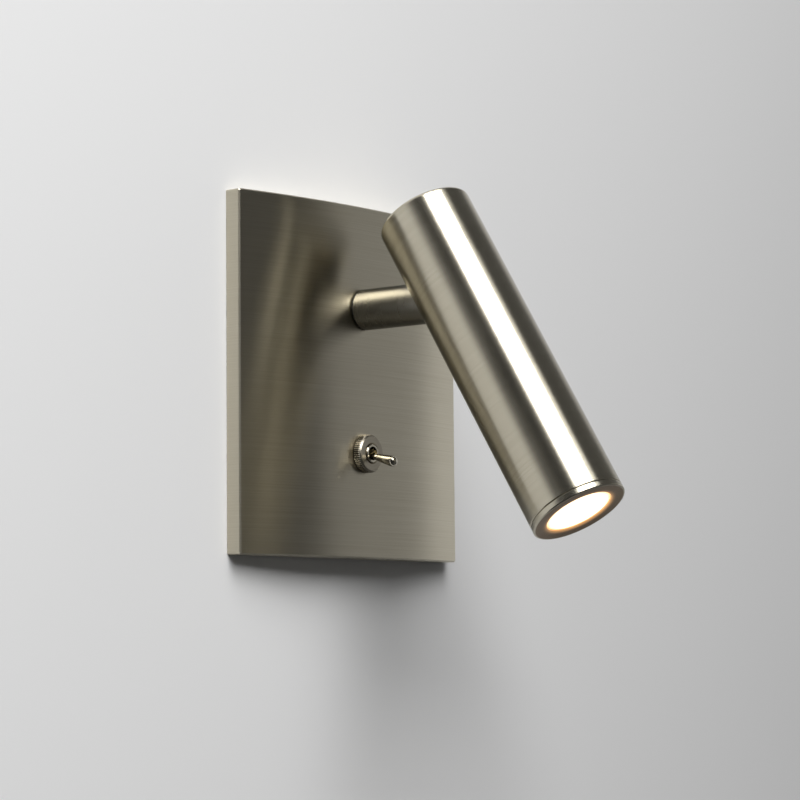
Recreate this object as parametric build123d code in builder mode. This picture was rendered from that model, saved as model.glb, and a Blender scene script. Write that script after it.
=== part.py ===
from build123d import *
from math import asin, cos, degrees, radians, sin, sqrt
import os

os.makedirs("parts", exist_ok=True)

# A bedside wall reading lamp, in millimetres. The wall is the plane Y = 0, the room is
# on the -Y side, +X is right and +Z is up. The origin is the plate's centre on the wall.

# ---------------------------------------------------------------- driving dimensions

# Clearances
running_clearance = 0.05  # a turning piece in its hole or against a face
fit_clearance = 0.2  # round a fixed piece that passes through a hole
thread_clearance = 0.02  # between a thread or a press fit and its seat
slot_clearance = 0.4  # between the arm and the edge of the head's slot
seat_clearance = 0.1  # round the lens in its ring, and round a lead in its grommet

# Face plate
plate_width = 115.0
plate_height = 120.0
plate_edge_depth = 5.7  # at the left and right edges
plate_crown = 5.6  # how much further the middle stands out
plate_skin = 2.0
plate_rim = 2.0
plate_corner_radius = 0.8
plate_edge_break = 0.45
pad_height = 0.5  # flat pads behind the skin, where nuts seat
switch_pad_margin = 1.0  # round the switch's lock washer
grub_radius = 1.5
grub_length = 6.0
grub_socket_radius = 0.75  # to the flats of its hexagon socket
grub_socket_depth = 2.0
grub_line = 3.4  # from the wall to the grub screws

# Mounting bracket
strap_thickness = 1.5
strap_side_gap = 9.5  # from the strap to the plate's rim, left and right
strap_end_gap = 4.0  # the same, top and bottom
strap_corner_radius = 6.0
tab_width = 24.0
tab_depth = 6.6
tab_gap = 0.8  # from a tab to the plate's rim
tab_bend_radius = 1.2
wall_screw_spacing = 60.3
wall_slot_length = 8.0
wall_slot_width = 4.0
earth_screw_radius = 2.0
earth_screw_place = (-16.0, -22.0)
earth_head_radius = 3.5
earth_head_height = 2.4
earth_washer_thickness = 0.8
earth_screw_reach = 3.0  # in front of the wall plane
screw_head_height = 2.0  # pan heads of the small screws
screw_head_radius = 2.75
screw_radius = 1.5

# Switch
switch_drop = 24.7  # below the plate's centre
bushing_radius = 3.1
bushing_proud = 0.45  # in front of the knurled nut
nut_radius = 6.5
nut_thickness = 3.0
nut_front_chamfer = 0.75
nut_rear_chamfer = 0.25
nut_countersink = 0.45
knurl_count = 36
knurl_depth = 0.36
lock_washer_thickness = 0.5
lock_washer_radius = 5.2
lock_washer_teeth = 10
lock_washer_notch = (1.0, 0.5)
rear_nut_thickness = 1.6
rear_nut_flats = 8.0
switch_width = 7.0
switch_height = 12.7
switch_depth = 9.0
switch_opening_margin = 1.5
switch_corner_radius = 0.4
lug_spacing = 4.7
lug_length = 4.0
lug_width = 2.0
lug_thickness = 0.8
lever_rest_angle = 14.6  # below the switch's axis, and as far above it in the other place
lever_setback = 3.5  # from the bushing's front back to the lever's pivot
lever_length = 13.9  # from its pivot to its tip
lever_ball_radius = 1.7
lever_tail_radius = 0.6
lever_tail_length = 3.4
lever_neck_radius = 0.95
lever_neck_length = 3.4
lever_tip_radius = 1.5
bushing_mouth_radius = 2.35
bushing_throat = 0.85  # from the lever's pivot to where the mouth starts to open
bushing_edge_break = 0.225
small_lead_radius = 0.6
switch_lead_line = 12.0  # from the wall plane back to the nearer upright lead
switch_lead_pitch = 2.0
switch_lead_bend = 0.45  # bend radius as a share of the run from the lug

# Arm
arm_rise = 24.5  # above the plate's centre
arm_radius = 7.0
arm_wall = 1.5
arm_base_inset = 0.4  # the dark ring is this much smaller than the arm
arm_base_thickness = 0.5
stem_radius = 5.0
stem_bore = 2.5
stem_plug_length = 10.0
stem_washer_radius = 8.2
stem_washer_thickness = 0.5
spring_washer_thickness = 1.0
spring_washer_split = 1.2
spring_split_slant = 20.0
stop_washer_thickness = 1.0
stop_tab_width = 4.0
stop_tab_reach = 12.4
stop_peg_radius = 1.2
stop_peg_circle = 10.4
stop_peg_seat = 1.2
stop_peg_proud = 0.3  # behind the stop washer
arm_pad_radius = 12.8
stem_nut_thickness = 3.0
stem_nut_flats = 14.0
stem_spare_thread = 0.6
lead_radius = 1.2
grommet_radius = 4.0
grommet_flange_radius = 5.5
grommet_flange = 0.8

# Tilt joint
pivot_reach = 55.6  # from the wall
knuckle_setback = 9.0  # from the pivot back to the arm tube's end
knuckle_plug_length = 8.0
fork_half_width = 5.5
fork_half_height = 5.0
fork_slot_half = 3.0
fork_slot_floor = 5.0  # from the pivot back to the slot's floor
trunnion_thread_radius = 1.5
trunnion_shoulder_radius = 2.25
trunnion_head_radius = 3.75
trunnion_head_height = 1.6
driver_slot_width = 0.9
driver_slot_depth = 0.7
tilt_washer_radius = 4.8
tilt_washer_thickness = 0.5
cheek_thickness = 2.75
cheek_radius = 5.5
yoke_start = 10.0  # from the pivot towards the lens
yoke_thickness = 6.0
yoke_bore = 3.0
yoke_screw_depth = 6.5

# Head
head_tilt = 31.0  # lens end forward from straight down, as photographed
tilt_low = 0.0  # straight down
tilt_high = 50.0
head_radius = 16.2
head_wall = 1.6
top_end = 34.8  # from the pivot to the top end
lens_end = 84.8  # from the pivot to the lens end
head_top_radius = 1.2
head_edge_break = 0.2
cap_thickness = 3.1
cap_edge_break = 0.3
bezel_height = 2.0
bezel_seam = 0.25
bezel_neck_length = 6.0
bezel_neck_gap = 0.1
bezel_neck_wall = 1.3
bezel_lip = 1.2
bezel_edge_radius = 0.35
bezel_lip_width = 1.8  # of the lip that covers the lens's edge
aperture_chamfer = 0.7
lens_thickness = 1.8
gasket_thickness = 0.6
gasket_width = 1.3
reflector_wall = 0.8
reflector_collar_radius = 6.8
reflector_collar_height = 2.0
reflector_rim_width = 0.9
reflector_belly_inset = 1.8  # from the mouth's radius to the belly's
reflector_belly_share = 0.42
reflector_rim = 0.8
sink_start = 20.0
sink_core_start = 17.0
sink_end = 56.0
sink_base = 6.0
sink_core_radius = 5.0
sink_bore = 2.0
sink_fins = 10
sink_fin_thickness = 1.2
sink_gap = 0.1
thermal_pad_thickness = 0.3
board_gap = 1.0  # from the light's board to the tube
board_thickness = 1.6
board_screw_inset = 2.6  # from the board's edge
board_screw_radius = 1.0
board_screw_head = 1.6
board_screw_head_height = 1.2
board_screw_depth = 4.0
chip_size = 9.0
chip_thickness = 0.8
phosphor_radius = 3.4
phosphor_thickness = 0.3
lead_end_gap = 0.1  # between the arm lead's round end and the head lead

# Driver
case_width = 50.0
case_low = -2.0
case_high = 33.0
case_depth = 24.0
case_wall = 1.5
case_corner_radius = 2.5
lid_thickness = 1.5
post_radius = 3.0
post_inset = 5.0  # from the case's outside to each post's axis
circuit_front = 6.0
circuit_thickness = 1.6
circuit_side_gap = 1.5  # from the circuit board to the case's walls, left and right
circuit_end_gap = 1.0  # the same, top and bottom
transformer_inset = (13.0, 13.0)  # from the case's left side and from its top
winding_size = (8.8, 11.0, 12.0)  # X, Y, Z
core_size = (16.0, 6.6, 8.4)
core_stand = 2.2  # from the circuit board to the core
capacitor_radius = 4.0
capacitor_length = 12.0
capacitor_insets = ((19.0, 11.0), (9.0, 13.0))  # from the case's right side and from its top
connector_inset = 4.0  # from the case's bottom
connector_height = 7.0
connector_depth = 8.0
switch_connector_width = 6.0
supply_connector_width = 14.0
driver_screw_reach = 5.0

# Terminal block
pole_pitch = 8.0
pole_count = 2
block_inset = 1.0  # from the case's right side to the block's
pole_line = 11.0  # from the wall plane back to the wires
block_low = -22.0
block_high = -10.0
block_depth = 17.0
clamp_size = 5.0
clamp_length = 10.0
clamp_bore = 1.6
clamp_stop = 1.0  # wall across the middle of each clamp, where both wires end
clamp_screw_radius = 1.2
clamp_screw_head = 1.7
clamp_screw_head_height = 1.8
clamp_screw_offset = 2.6  # each side of the block's middle
clamp_screw_stand = 0.7  # from the clamp to the underside of the head
block_screw_reach = 5.0

# ---------------------------------------------------------------- derived places

front_y = -(plate_edge_depth + plate_crown)
plate_radius = (plate_width**2 / 4 + plate_crown**2) / (2 * plate_crown)
plate_centre_y = front_y + plate_radius
pad_back_y = front_y + plate_skin + pad_height
strap_front_y = -strap_thickness
strap_width = plate_width - 2 * (plate_rim + strap_side_gap)
strap_height = plate_height - 2 * (plate_rim + strap_end_gap)

switch_z = -switch_drop
rear_nut_front_y = pad_back_y + lock_washer_thickness
switch_front_y = rear_nut_front_y + rear_nut_thickness
switch_back_y = switch_front_y + switch_depth
lug_end_y = switch_back_y + lug_length
bushing_front_y = front_y - nut_thickness - bushing_proud
bushing_bore = lever_ball_radius + running_clearance
bushing_hole = bushing_radius + fit_clearance
switch_pad_radius = lock_washer_radius + switch_pad_margin
lever_pivot = Vector(0, bushing_front_y + lever_setback, switch_z)
lever_direction = Vector(0, -cos(radians(lever_rest_angle)), -sin(radians(lever_rest_angle)))

arm_bore = arm_radius - arm_wall
arm_base_radius = arm_radius - arm_base_inset
arm_base_front_y = front_y - arm_base_thickness
arm_back_y = arm_base_front_y - running_clearance
arm_front_y = -(pivot_reach - knuckle_setback)
spring_washer_y = pad_back_y + stem_washer_thickness + running_clearance
stop_washer_y = spring_washer_y + spring_washer_thickness
stem_nut_y = stop_washer_y + stop_washer_thickness
stem_end_y = stem_nut_y + stem_nut_thickness + stem_spare_thread
stem_hole = stem_radius + fit_clearance
washer_hole = stem_radius + thread_clearance

pivot = Vector(0, -pivot_reach, arm_rise)
head_direction = Vector(0, -sin(radians(head_tilt)), -cos(radians(head_tilt)))
head_back = Vector(0, cos(radians(head_tilt)), -sin(radians(head_tilt)))
head_bore = head_radius - head_wall
tube_end = lens_end - bezel_height - bezel_seam
lens_back = lens_end - bezel_lip - gasket_thickness - lens_thickness
lens_front = lens_back + lens_thickness
neck_outside = head_bore - bezel_neck_gap
neck_inside = neck_outside - bezel_neck_wall
lens_radius = neck_inside - seat_clearance
aperture_radius = lens_radius - bezel_lip_width
reflector_mouth_radius = lens_radius - reflector_rim_width
reflector_belly_radius = reflector_mouth_radius - reflector_belly_inset
board_radius = head_bore - board_gap
board_screw_circle = board_radius - board_screw_inset
cheek_start = fork_half_width + tilt_washer_thickness + running_clearance
cheek_end = cheek_start + cheek_thickness
trunnion_hole = trunnion_shoulder_radius + running_clearance
yoke_radius = head_bore - running_clearance
yoke_middle = yoke_start + yoke_thickness / 2
board_back = sink_end + thermal_pad_thickness
board_front = board_back + board_thickness

# The slot ends where the arm's edge crosses the tube at the two ends of the tilt.
steepest = radians(90 - tilt_low)
flattest = radians(90 - tilt_high)
slot_foot = (arm_radius - head_bore * cos(steepest)) / sin(steepest) + slot_clearance
slot_top = (head_radius * cos(flattest) + arm_radius) / sin(flattest) + slot_clearance
slot_width = 2 * (arm_radius + slot_clearance)

case_half = case_width / 2
post_across = case_half - post_inset
post_low = case_low + post_inset
post_high = case_high - post_inset
circuit_back = circuit_front + circuit_thickness
circuit_width = case_width - 2 * (case_wall + circuit_side_gap)
circuit_low = case_low + case_wall + circuit_end_gap
circuit_high = case_high - case_wall - circuit_end_gap
connector_low = case_low + connector_inset
block_width = pole_pitch * pole_count
block_middle_x = case_half - block_inset - block_width / 2
block_middle_z = (block_low + block_high) / 2
pole_places = [block_middle_x + pole_pitch * (index - (pole_count - 1) / 2) for index in range(pole_count)]
clamp_room = clamp_size + 2 * fit_clearance
clamp_socket = (clamp_length - clamp_stop) / 2
switch_lead_lines = (switch_lead_line, switch_lead_line + switch_lead_pitch)
switch_lead_lugs = (switch_z + lug_spacing, switch_z)
case_inside_radius = case_corner_radius - case_wall / 2


def facing_room(y, z=0.0, x=0.0):
    """Plane parallel to the wall whose normal points into the room."""
    return Plane(origin=(x, y, z), x_dir=(1, 0, 0), z_dir=(0, -1, 0))


def turning_plane(origin, direction):
    """Plane with local X along +X and local Y along the axis that a piece is turned on."""
    return Plane(origin=origin, x_dir=(1, 0, 0), z_dir=Vector(1, 0, 0).cross(Vector(direction)))


def along_head(distance):
    """Plane across the head, at a distance from the pivot towards the lens."""
    return Plane(origin=pivot + head_direction * distance, x_dir=(1, 0, 0), z_dir=head_direction)


def beside_head(x):
    """Plane parallel to the head's middle, with local X to its back and local Y to its top."""
    return Plane(origin=pivot + Vector(x, 0, 0), x_dir=head_back, z_dir=(1, 0, 0))


def skin_y(x, radius):
    """Y of a curved wall of the plate, of the given radius, at x."""
    return plate_centre_y - sqrt(radius**2 - x**2)


# ---------------------------------------------------------------- wall plate

with BuildPart() as face_plate:
    half_width = plate_width / 2
    with BuildSketch(Plane.XY.offset(-plate_height / 2)):
        with BuildLine():
            Polyline(
                (-half_width, -plate_edge_depth),
                (-half_width, 0),
                (half_width, 0),
                (half_width, -plate_edge_depth),
            )
            ThreePointArc(
                (half_width, -plate_edge_depth), (0, front_y), (-half_width, -plate_edge_depth)
            )
        make_face()
    extrude(amount=plate_height)
    fillet(face_plate.edges().filter_by(Axis.Y), plate_corner_radius)
    chamfer(face_plate.faces().sort_by(Axis.Y)[0].edges(), plate_edge_break)
    inside = half_width - plate_rim
    inside_radius = plate_radius - plate_skin
    inside_y = skin_y(inside, inside_radius)
    with BuildSketch(Plane.XY.offset(plate_rim - plate_height / 2)):
        with BuildLine():
            Polyline((-inside, inside_y), (-inside, 0), (inside, 0), (inside, inside_y))
            ThreePointArc((inside, inside_y), (0, front_y + plate_skin), (-inside, inside_y))
        make_face()
    extrude(amount=plate_height - 2 * plate_rim, mode=Mode.SUBTRACT)
    pad_depth = pad_height + plate_skin / 2
    with BuildSketch(facing_room(pad_back_y)):
        with Locations((0, arm_rise)):
            Circle(arm_pad_radius)
        with Locations((0, switch_z)):
            Circle(switch_pad_radius)
    extrude(amount=pad_depth)
    with BuildSketch(facing_room(pad_back_y)):
        with Locations((0, arm_rise)):
            Circle(stem_hole)
        with Locations((0, switch_z)):
            Circle(bushing_hole)
    extrude(amount=plate_skin + 2 * pad_height, mode=Mode.SUBTRACT)
    with BuildSketch(facing_room(pad_back_y)):
        with Locations((0, arm_rise - stop_peg_circle)):
            Circle(stop_peg_radius + thread_clearance)
    extrude(amount=stop_peg_seat, mode=Mode.SUBTRACT)
    with BuildSketch(Plane.XY):
        with Locations((0, -grub_line)):
            Circle(grub_radius + fit_clearance)
    extrude(amount=plate_height, both=True, mode=Mode.SUBTRACT)

tab_outside = plate_height / 2 - plate_rim - tab_gap

with BuildPart() as mounting_bracket:
    with BuildSketch(facing_room(0)):
        RectangleRounded(strap_width, strap_height, strap_corner_radius)
        Rectangle(tab_width, 2 * tab_outside)
    extrude(amount=strap_thickness)
    for tab_start in (-tab_outside, tab_outside - strap_thickness):
        with BuildSketch(Plane.XY.offset(tab_start)):
            with Locations((0, -tab_depth / 2)):
                Rectangle(tab_width, tab_depth)
        extrude(amount=strap_thickness)
    bends = mounting_bracket.edges().filter_by(Axis.X).group_by(Axis.Y)[-1].sort_by(Axis.Z)
    fillet([bends[0], bends[-1]], tab_bend_radius)
    with BuildSketch(facing_room(0)):
        with GridLocations(wall_screw_spacing, 0, 2, 1):
            SlotOverall(wall_slot_length, wall_slot_width)
        with Locations((0, switch_z)):
            Rectangle(
                switch_width + 2 * switch_opening_margin, switch_height + 2 * switch_opening_margin
            )
        with Locations((0, arm_rise)):
            Circle(grommet_radius)
        with Locations((-post_across, post_low), (post_across, post_low)):
            Circle(screw_radius + fit_clearance)
        with Locations((block_middle_x, block_middle_z)):
            Circle(screw_radius + fit_clearance)
        with Locations(earth_screw_place):
            Circle(earth_screw_radius + thread_clearance)
    extrude(amount=strap_thickness, mode=Mode.SUBTRACT)
    with BuildSketch(Plane.XY):
        with Locations((0, -grub_line)):
            Circle(grub_radius + thread_clearance)
    extrude(amount=plate_height, both=True, mode=Mode.SUBTRACT)

with BuildPart() as plate_grub_screws:
    for side in (-1, 1):
        rim_face = Vector(0, -grub_line, side * plate_height / 2)
        with BuildSketch(Plane(origin=rim_face, x_dir=(1, 0, 0), z_dir=(0, 0, -side))):
            Circle(grub_radius)
        extrude(amount=grub_length)
        with BuildSketch(Plane(origin=rim_face, x_dir=(1, 0, 0), z_dir=(0, 0, -side))):
            RegularPolygon(grub_socket_radius, 6, major_radius=False)
        extrude(amount=grub_socket_depth, mode=Mode.SUBTRACT)

with BuildPart() as earth_washer:
    with BuildSketch(facing_room(earth_washer_thickness, earth_screw_place[1], earth_screw_place[0])):
        Circle(earth_head_radius)
        Circle(earth_screw_radius + fit_clearance, mode=Mode.SUBTRACT)
    extrude(amount=earth_washer_thickness)

with BuildPart() as earth_screw:
    head_back_y = earth_washer_thickness + earth_head_height
    with BuildSketch(facing_room(head_back_y, earth_screw_place[1], earth_screw_place[0])):
        Circle(earth_head_radius)
    extrude(amount=earth_head_height)
    with BuildSketch(facing_room(earth_washer_thickness, earth_screw_place[1], earth_screw_place[0])):
        Circle(earth_screw_radius)
    extrude(amount=earth_washer_thickness + earth_screw_reach)
    with BuildSketch(facing_room(head_back_y, earth_screw_place[1], earth_screw_place[0])):
        Rectangle(2 * earth_head_radius, driver_slot_width)
    extrude(amount=driver_slot_depth, mode=Mode.SUBTRACT)

with BuildPart() as lead_grommet:
    grommet_back_y = case_wall + grommet_flange
    with BuildSketch(facing_room(grommet_back_y, arm_rise)):
        Circle(grommet_flange_radius)
    extrude(amount=grommet_flange)
    with BuildSketch(facing_room(case_wall, arm_rise)):
        Circle(grommet_radius)
    extrude(amount=case_wall + strap_thickness)
    with BuildSketch(facing_room(grommet_back_y, arm_rise)):
        Circle(lead_radius + seat_clearance)
    extrude(amount=grommet_back_y + strap_thickness, mode=Mode.SUBTRACT)

with BuildPart() as stop_peg:
    with BuildSketch(facing_room(stem_nut_y + stop_peg_proud, arm_rise - stop_peg_circle)):
        Circle(stop_peg_radius)
    extrude(amount=stem_nut_y + stop_peg_proud - pad_back_y + stop_peg_seat)

# ---------------------------------------------------------------- switch

with BuildPart() as knurled_nut:
    nut_bore = bushing_radius + thread_clearance
    with BuildSketch(turning_plane((0, front_y, switch_z), (0, -1, 0))):
        with BuildLine():
            Polyline(
                (nut_bore, 0),
                (nut_radius - nut_rear_chamfer, 0),
                (nut_radius, nut_rear_chamfer),
                (nut_radius, nut_thickness - nut_front_chamfer),
                (nut_radius - nut_front_chamfer, nut_thickness),
                (nut_bore + nut_countersink, nut_thickness),
                (nut_bore, nut_thickness - nut_countersink),
                close=True,
            )
        make_face()
    revolve(axis=Axis((0, front_y, switch_z), (0, -1, 0)))
    with BuildSketch(facing_room(front_y, switch_z)):
        with PolarLocations(nut_radius, knurl_count):
            Rectangle(knurl_depth * sqrt(2), knurl_depth * sqrt(2), rotation=45)
    extrude(amount=nut_thickness, mode=Mode.SUBTRACT)

with BuildPart() as toggle_bushing:
    bushing_length = switch_front_y - bushing_front_y
    pivot_height = bushing_length - lever_setback
    with BuildSketch(turning_plane((0, switch_front_y, switch_z), (0, -1, 0))):
        with BuildLine():
            Polyline(
                (bushing_bore, 0),
                (bushing_radius, 0),
                (bushing_radius, bushing_length - bushing_edge_break),
                (bushing_radius - bushing_edge_break, bushing_length),
                (bushing_mouth_radius, bushing_length),
                (bushing_bore, pivot_height + bushing_throat),
                close=True,
            )
        make_face()
    revolve(axis=Axis((0, switch_front_y, switch_z), (0, -1, 0)))

with BuildPart() as toggle_lever:
    ball_tail = -sqrt(lever_ball_radius**2 - lever_tail_radius**2)
    ball_neck = sqrt(lever_ball_radius**2 - lever_neck_radius**2)
    dome_base = lever_length - lever_tip_radius
    dome_middle = lever_tip_radius * sqrt(0.5)
    with BuildSketch(turning_plane(lever_pivot, lever_direction)):
        with BuildLine():
            tail = Polyline(
                (0, -lever_tail_length),
                (lever_tail_radius, -lever_tail_length),
                (lever_tail_radius, ball_tail),
            )
            ball = ThreePointArc(tail @ 1, (lever_ball_radius, 0), (lever_neck_radius, ball_neck))
            bat = Polyline(
                ball @ 1, (lever_neck_radius, lever_neck_length), (lever_tip_radius, dome_base)
            )
            dome = ThreePointArc(bat @ 1, (dome_middle, dome_base + dome_middle), (0, lever_length))
            Line(dome @ 1, tail @ 0)
        make_face()
    revolve(axis=Axis(lever_pivot, lever_direction))

with BuildPart() as toggle_lock_washer:
    with BuildSketch(facing_room(rear_nut_front_y, switch_z)):
        Circle(lock_washer_radius)
        with PolarLocations(lock_washer_radius, lock_washer_teeth):
            Rectangle(*lock_washer_notch, mode=Mode.SUBTRACT)
        Circle(bushing_hole, mode=Mode.SUBTRACT)
    extrude(amount=lock_washer_thickness)

with BuildPart() as toggle_rear_nut:
    with BuildSketch(facing_room(switch_front_y, switch_z)):
        RegularPolygon(rear_nut_flats / 2, 6, major_radius=False)
        Circle(bushing_radius + thread_clearance, mode=Mode.SUBTRACT)
    extrude(amount=rear_nut_thickness)

with BuildPart() as toggle_body:
    with BuildSketch(facing_room(switch_back_y, switch_z)):
        RectangleRounded(switch_width, switch_height, switch_corner_radius)
    extrude(amount=switch_depth)

with BuildPart() as toggle_terminals:
    with BuildSketch(facing_room(lug_end_y, switch_z)):
        with GridLocations(0, lug_spacing, 1, 3):
            Rectangle(lug_thickness, lug_width)
    extrude(amount=lug_length)

# ---------------------------------------------------------------- arm

with BuildPart() as arm_base_washer:
    with BuildSketch(facing_room(front_y, arm_rise)):
        Circle(arm_base_radius)
        Circle(stem_hole, mode=Mode.SUBTRACT)
    extrude(amount=arm_base_thickness)

with BuildPart() as arm_tube:
    with BuildSketch(facing_room(arm_back_y, arm_rise)):
        Circle(arm_radius)
        Circle(arm_bore, mode=Mode.SUBTRACT)
    extrude(amount=arm_back_y - arm_front_y)
    chamfer(arm_tube.faces().sort_by(Axis.Y)[-1].outer_wire().edges(), head_edge_break)

with BuildPart() as arm_stem:
    with BuildSketch(facing_room(arm_back_y, arm_rise)):
        Circle(arm_bore - thread_clearance)
    extrude(amount=stem_plug_length)
    with BuildSketch(facing_room(stem_end_y, arm_rise)):
        Circle(stem_radius)
    extrude(amount=stem_end_y - arm_back_y)
    with BuildSketch(facing_room(stem_end_y, arm_rise)):
        Circle(stem_bore)
    extrude(amount=stem_end_y - arm_back_y + stem_plug_length, mode=Mode.SUBTRACT)

with BuildPart() as stem_friction_washer:
    with BuildSketch(facing_room(pad_back_y + stem_washer_thickness, arm_rise)):
        Circle(stem_washer_radius)
        Circle(stem_hole, mode=Mode.SUBTRACT)
    extrude(amount=stem_washer_thickness)

with BuildPart() as stem_spring_washer:
    with BuildSketch(facing_room(stop_washer_y, arm_rise)):
        Circle(stem_washer_radius)
        Circle(washer_hole, mode=Mode.SUBTRACT)
        with Locations((stem_washer_radius, 0)):
            Rectangle(
                2 * stem_radius, spring_washer_split, rotation=spring_split_slant, mode=Mode.SUBTRACT
            )
    extrude(amount=spring_washer_thickness)

with BuildPart() as stem_stop_washer:
    with BuildSketch(facing_room(stem_nut_y, arm_rise)):
        Circle(stem_washer_radius)
        with Locations((0, stop_tab_reach / 2)):
            Rectangle(stop_tab_width, stop_tab_reach)
        Circle(washer_hole, mode=Mode.SUBTRACT)
    extrude(amount=stop_washer_thickness)

with BuildPart() as stem_nut:
    with BuildSketch(facing_room(stem_nut_y + stem_nut_thickness, arm_rise)):
        RegularPolygon(stem_nut_flats / 2, 6, major_radius=False)
        Circle(washer_hole, mode=Mode.SUBTRACT)
    extrude(amount=stem_nut_thickness)

with BuildPart() as arm_knuckle:
    with BuildSketch(facing_room(arm_front_y + knuckle_plug_length, arm_rise)):
        Circle(arm_bore - thread_clearance)
    extrude(amount=knuckle_plug_length)
    with BuildSketch(Plane.YZ):
        with Locations((-pivot_reach + knuckle_setback / 2, arm_rise)):
            Rectangle(knuckle_setback, 2 * fork_half_height)
        with Locations((-pivot_reach, arm_rise)):
            Circle(fork_half_height)
    extrude(amount=fork_half_width, both=True)
    with BuildSketch(facing_room(-pivot_reach + fork_slot_floor, arm_rise)):
        Rectangle(2 * fork_slot_half, 2 * fork_half_height)
    extrude(amount=fork_slot_floor + fork_half_height, mode=Mode.SUBTRACT)
    with BuildSketch(facing_room(arm_front_y + knuckle_plug_length, arm_rise)):
        Circle(stem_bore)
    extrude(amount=knuckle_plug_length + knuckle_setback, mode=Mode.SUBTRACT)
    with BuildSketch(Plane.YZ):
        with Locations((-pivot_reach, arm_rise)):
            Circle(trunnion_thread_radius + thread_clearance)
    extrude(amount=fork_half_width, both=True, mode=Mode.SUBTRACT)

with BuildPart() as trunnion_washers:
    for side in (-1, 1):
        washer_face = pivot + Vector(side * fork_half_width, 0, 0)
        with BuildSketch(Plane(origin=washer_face, x_dir=(0, 1, 0), z_dir=(side, 0, 0))):
            Circle(tilt_washer_radius)
            Circle(trunnion_hole, mode=Mode.SUBTRACT)
        extrude(amount=tilt_washer_thickness)

with BuildPart() as trunnion_screws:
    head_start = cheek_end + running_clearance
    for side in (-1, 1):
        thread_face = pivot + Vector(side * fork_slot_half, 0, 0)
        shoulder_face = pivot + Vector(side * fork_half_width, 0, 0)
        head_face = pivot + Vector(side * head_start, 0, 0)
        slot_face = pivot + Vector(side * (head_start + trunnion_head_height), 0, 0)
        with BuildSketch(Plane(origin=thread_face, x_dir=(0, 1, 0), z_dir=(side, 0, 0))):
            Circle(trunnion_thread_radius)
        extrude(amount=fork_half_width - fork_slot_half)
        with BuildSketch(Plane(origin=shoulder_face, x_dir=(0, 1, 0), z_dir=(side, 0, 0))):
            Circle(trunnion_shoulder_radius)
        extrude(amount=head_start - fork_half_width)
        with BuildSketch(Plane(origin=head_face, x_dir=(0, 1, 0), z_dir=(side, 0, 0))):
            Circle(trunnion_head_radius)
        extrude(amount=trunnion_head_height)
        with BuildSketch(Plane(origin=slot_face, x_dir=(0, 1, 0), z_dir=(-side, 0, 0))):
            Rectangle(2 * trunnion_head_radius, driver_slot_width)
        extrude(amount=driver_slot_depth, mode=Mode.SUBTRACT)

with BuildPart() as arm_lead:
    lead_start_y = circuit_front - running_clearance
    with BuildSketch(facing_room(lead_start_y, arm_rise)):
        Circle(lead_radius)
    extrude(amount=lead_start_y + pivot_reach)
    with Locations(pivot):
        Sphere(lead_radius)

# ---------------------------------------------------------------- head

with BuildPart() as head_tube:
    with BuildSketch(along_head(-top_end)):
        Circle(head_radius)
        Circle(head_bore, mode=Mode.SUBTRACT)
    extrude(amount=top_end + tube_end)
    ends = head_tube.faces().sort_by(Axis((0, 0, 0), head_direction))
    fillet(ends[0].outer_wire().edges(), head_top_radius)
    chamfer(ends[-1].outer_wire().edges(), head_edge_break)
    with BuildSketch(Plane(origin=pivot, x_dir=-head_direction, z_dir=head_back)):
        with Locations(((slot_top - slot_foot) / 2, 0)):
            SlotOverall(slot_top + slot_foot, slot_width)
    extrude(amount=head_radius, mode=Mode.SUBTRACT)
    with BuildSketch(Plane(origin=pivot, x_dir=-head_direction, z_dir=head_back)):
        with Locations((-yoke_middle, 0)):
            Circle(grub_radius + fit_clearance)
    extrude(amount=head_radius, mode=Mode.SUBTRACT)

with BuildPart() as head_cap:
    with BuildSketch(along_head(-top_end)):
        Circle(head_bore - thread_clearance)
    extrude(amount=cap_thickness)
    cap_face = head_cap.faces().sort_by(Axis((0, 0, 0), head_direction))[0]
    chamfer(cap_face.edges(), cap_edge_break)

with BuildPart() as head_yoke:
    with BuildSketch(along_head(yoke_start)):
        Circle(yoke_radius)
        Circle(yoke_bore, mode=Mode.SUBTRACT)
    extrude(amount=yoke_thickness)
    for cheek_x in (-cheek_end, cheek_start):
        with BuildSketch(beside_head(cheek_x)):
            with Locations((0, -yoke_start / 2)):
                Rectangle(2 * cheek_radius, yoke_start)
            Circle(cheek_radius)
        extrude(amount=cheek_thickness)
    with BuildSketch(beside_head(0)):
        Circle(trunnion_hole)
    extrude(amount=cheek_end, both=True, mode=Mode.SUBTRACT)
    with BuildSketch(Plane(origin=pivot, x_dir=-head_direction, z_dir=head_back)):
        with Locations((-yoke_middle, 0)):
            Circle(grub_radius + thread_clearance)
    extrude(amount=head_radius, mode=Mode.SUBTRACT)

with BuildPart() as yoke_screw:
    screw_start = pivot + head_direction * yoke_middle + head_back * (head_radius - head_edge_break)
    with BuildSketch(Plane(origin=screw_start, x_dir=(1, 0, 0), z_dir=-head_back)):
        Circle(grub_radius)
    extrude(amount=yoke_screw_depth)
    with BuildSketch(Plane(origin=screw_start, x_dir=(1, 0, 0), z_dir=-head_back)):
        RegularPolygon(grub_socket_radius, 6, major_radius=False)
    extrude(amount=grub_socket_depth, mode=Mode.SUBTRACT)

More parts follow.
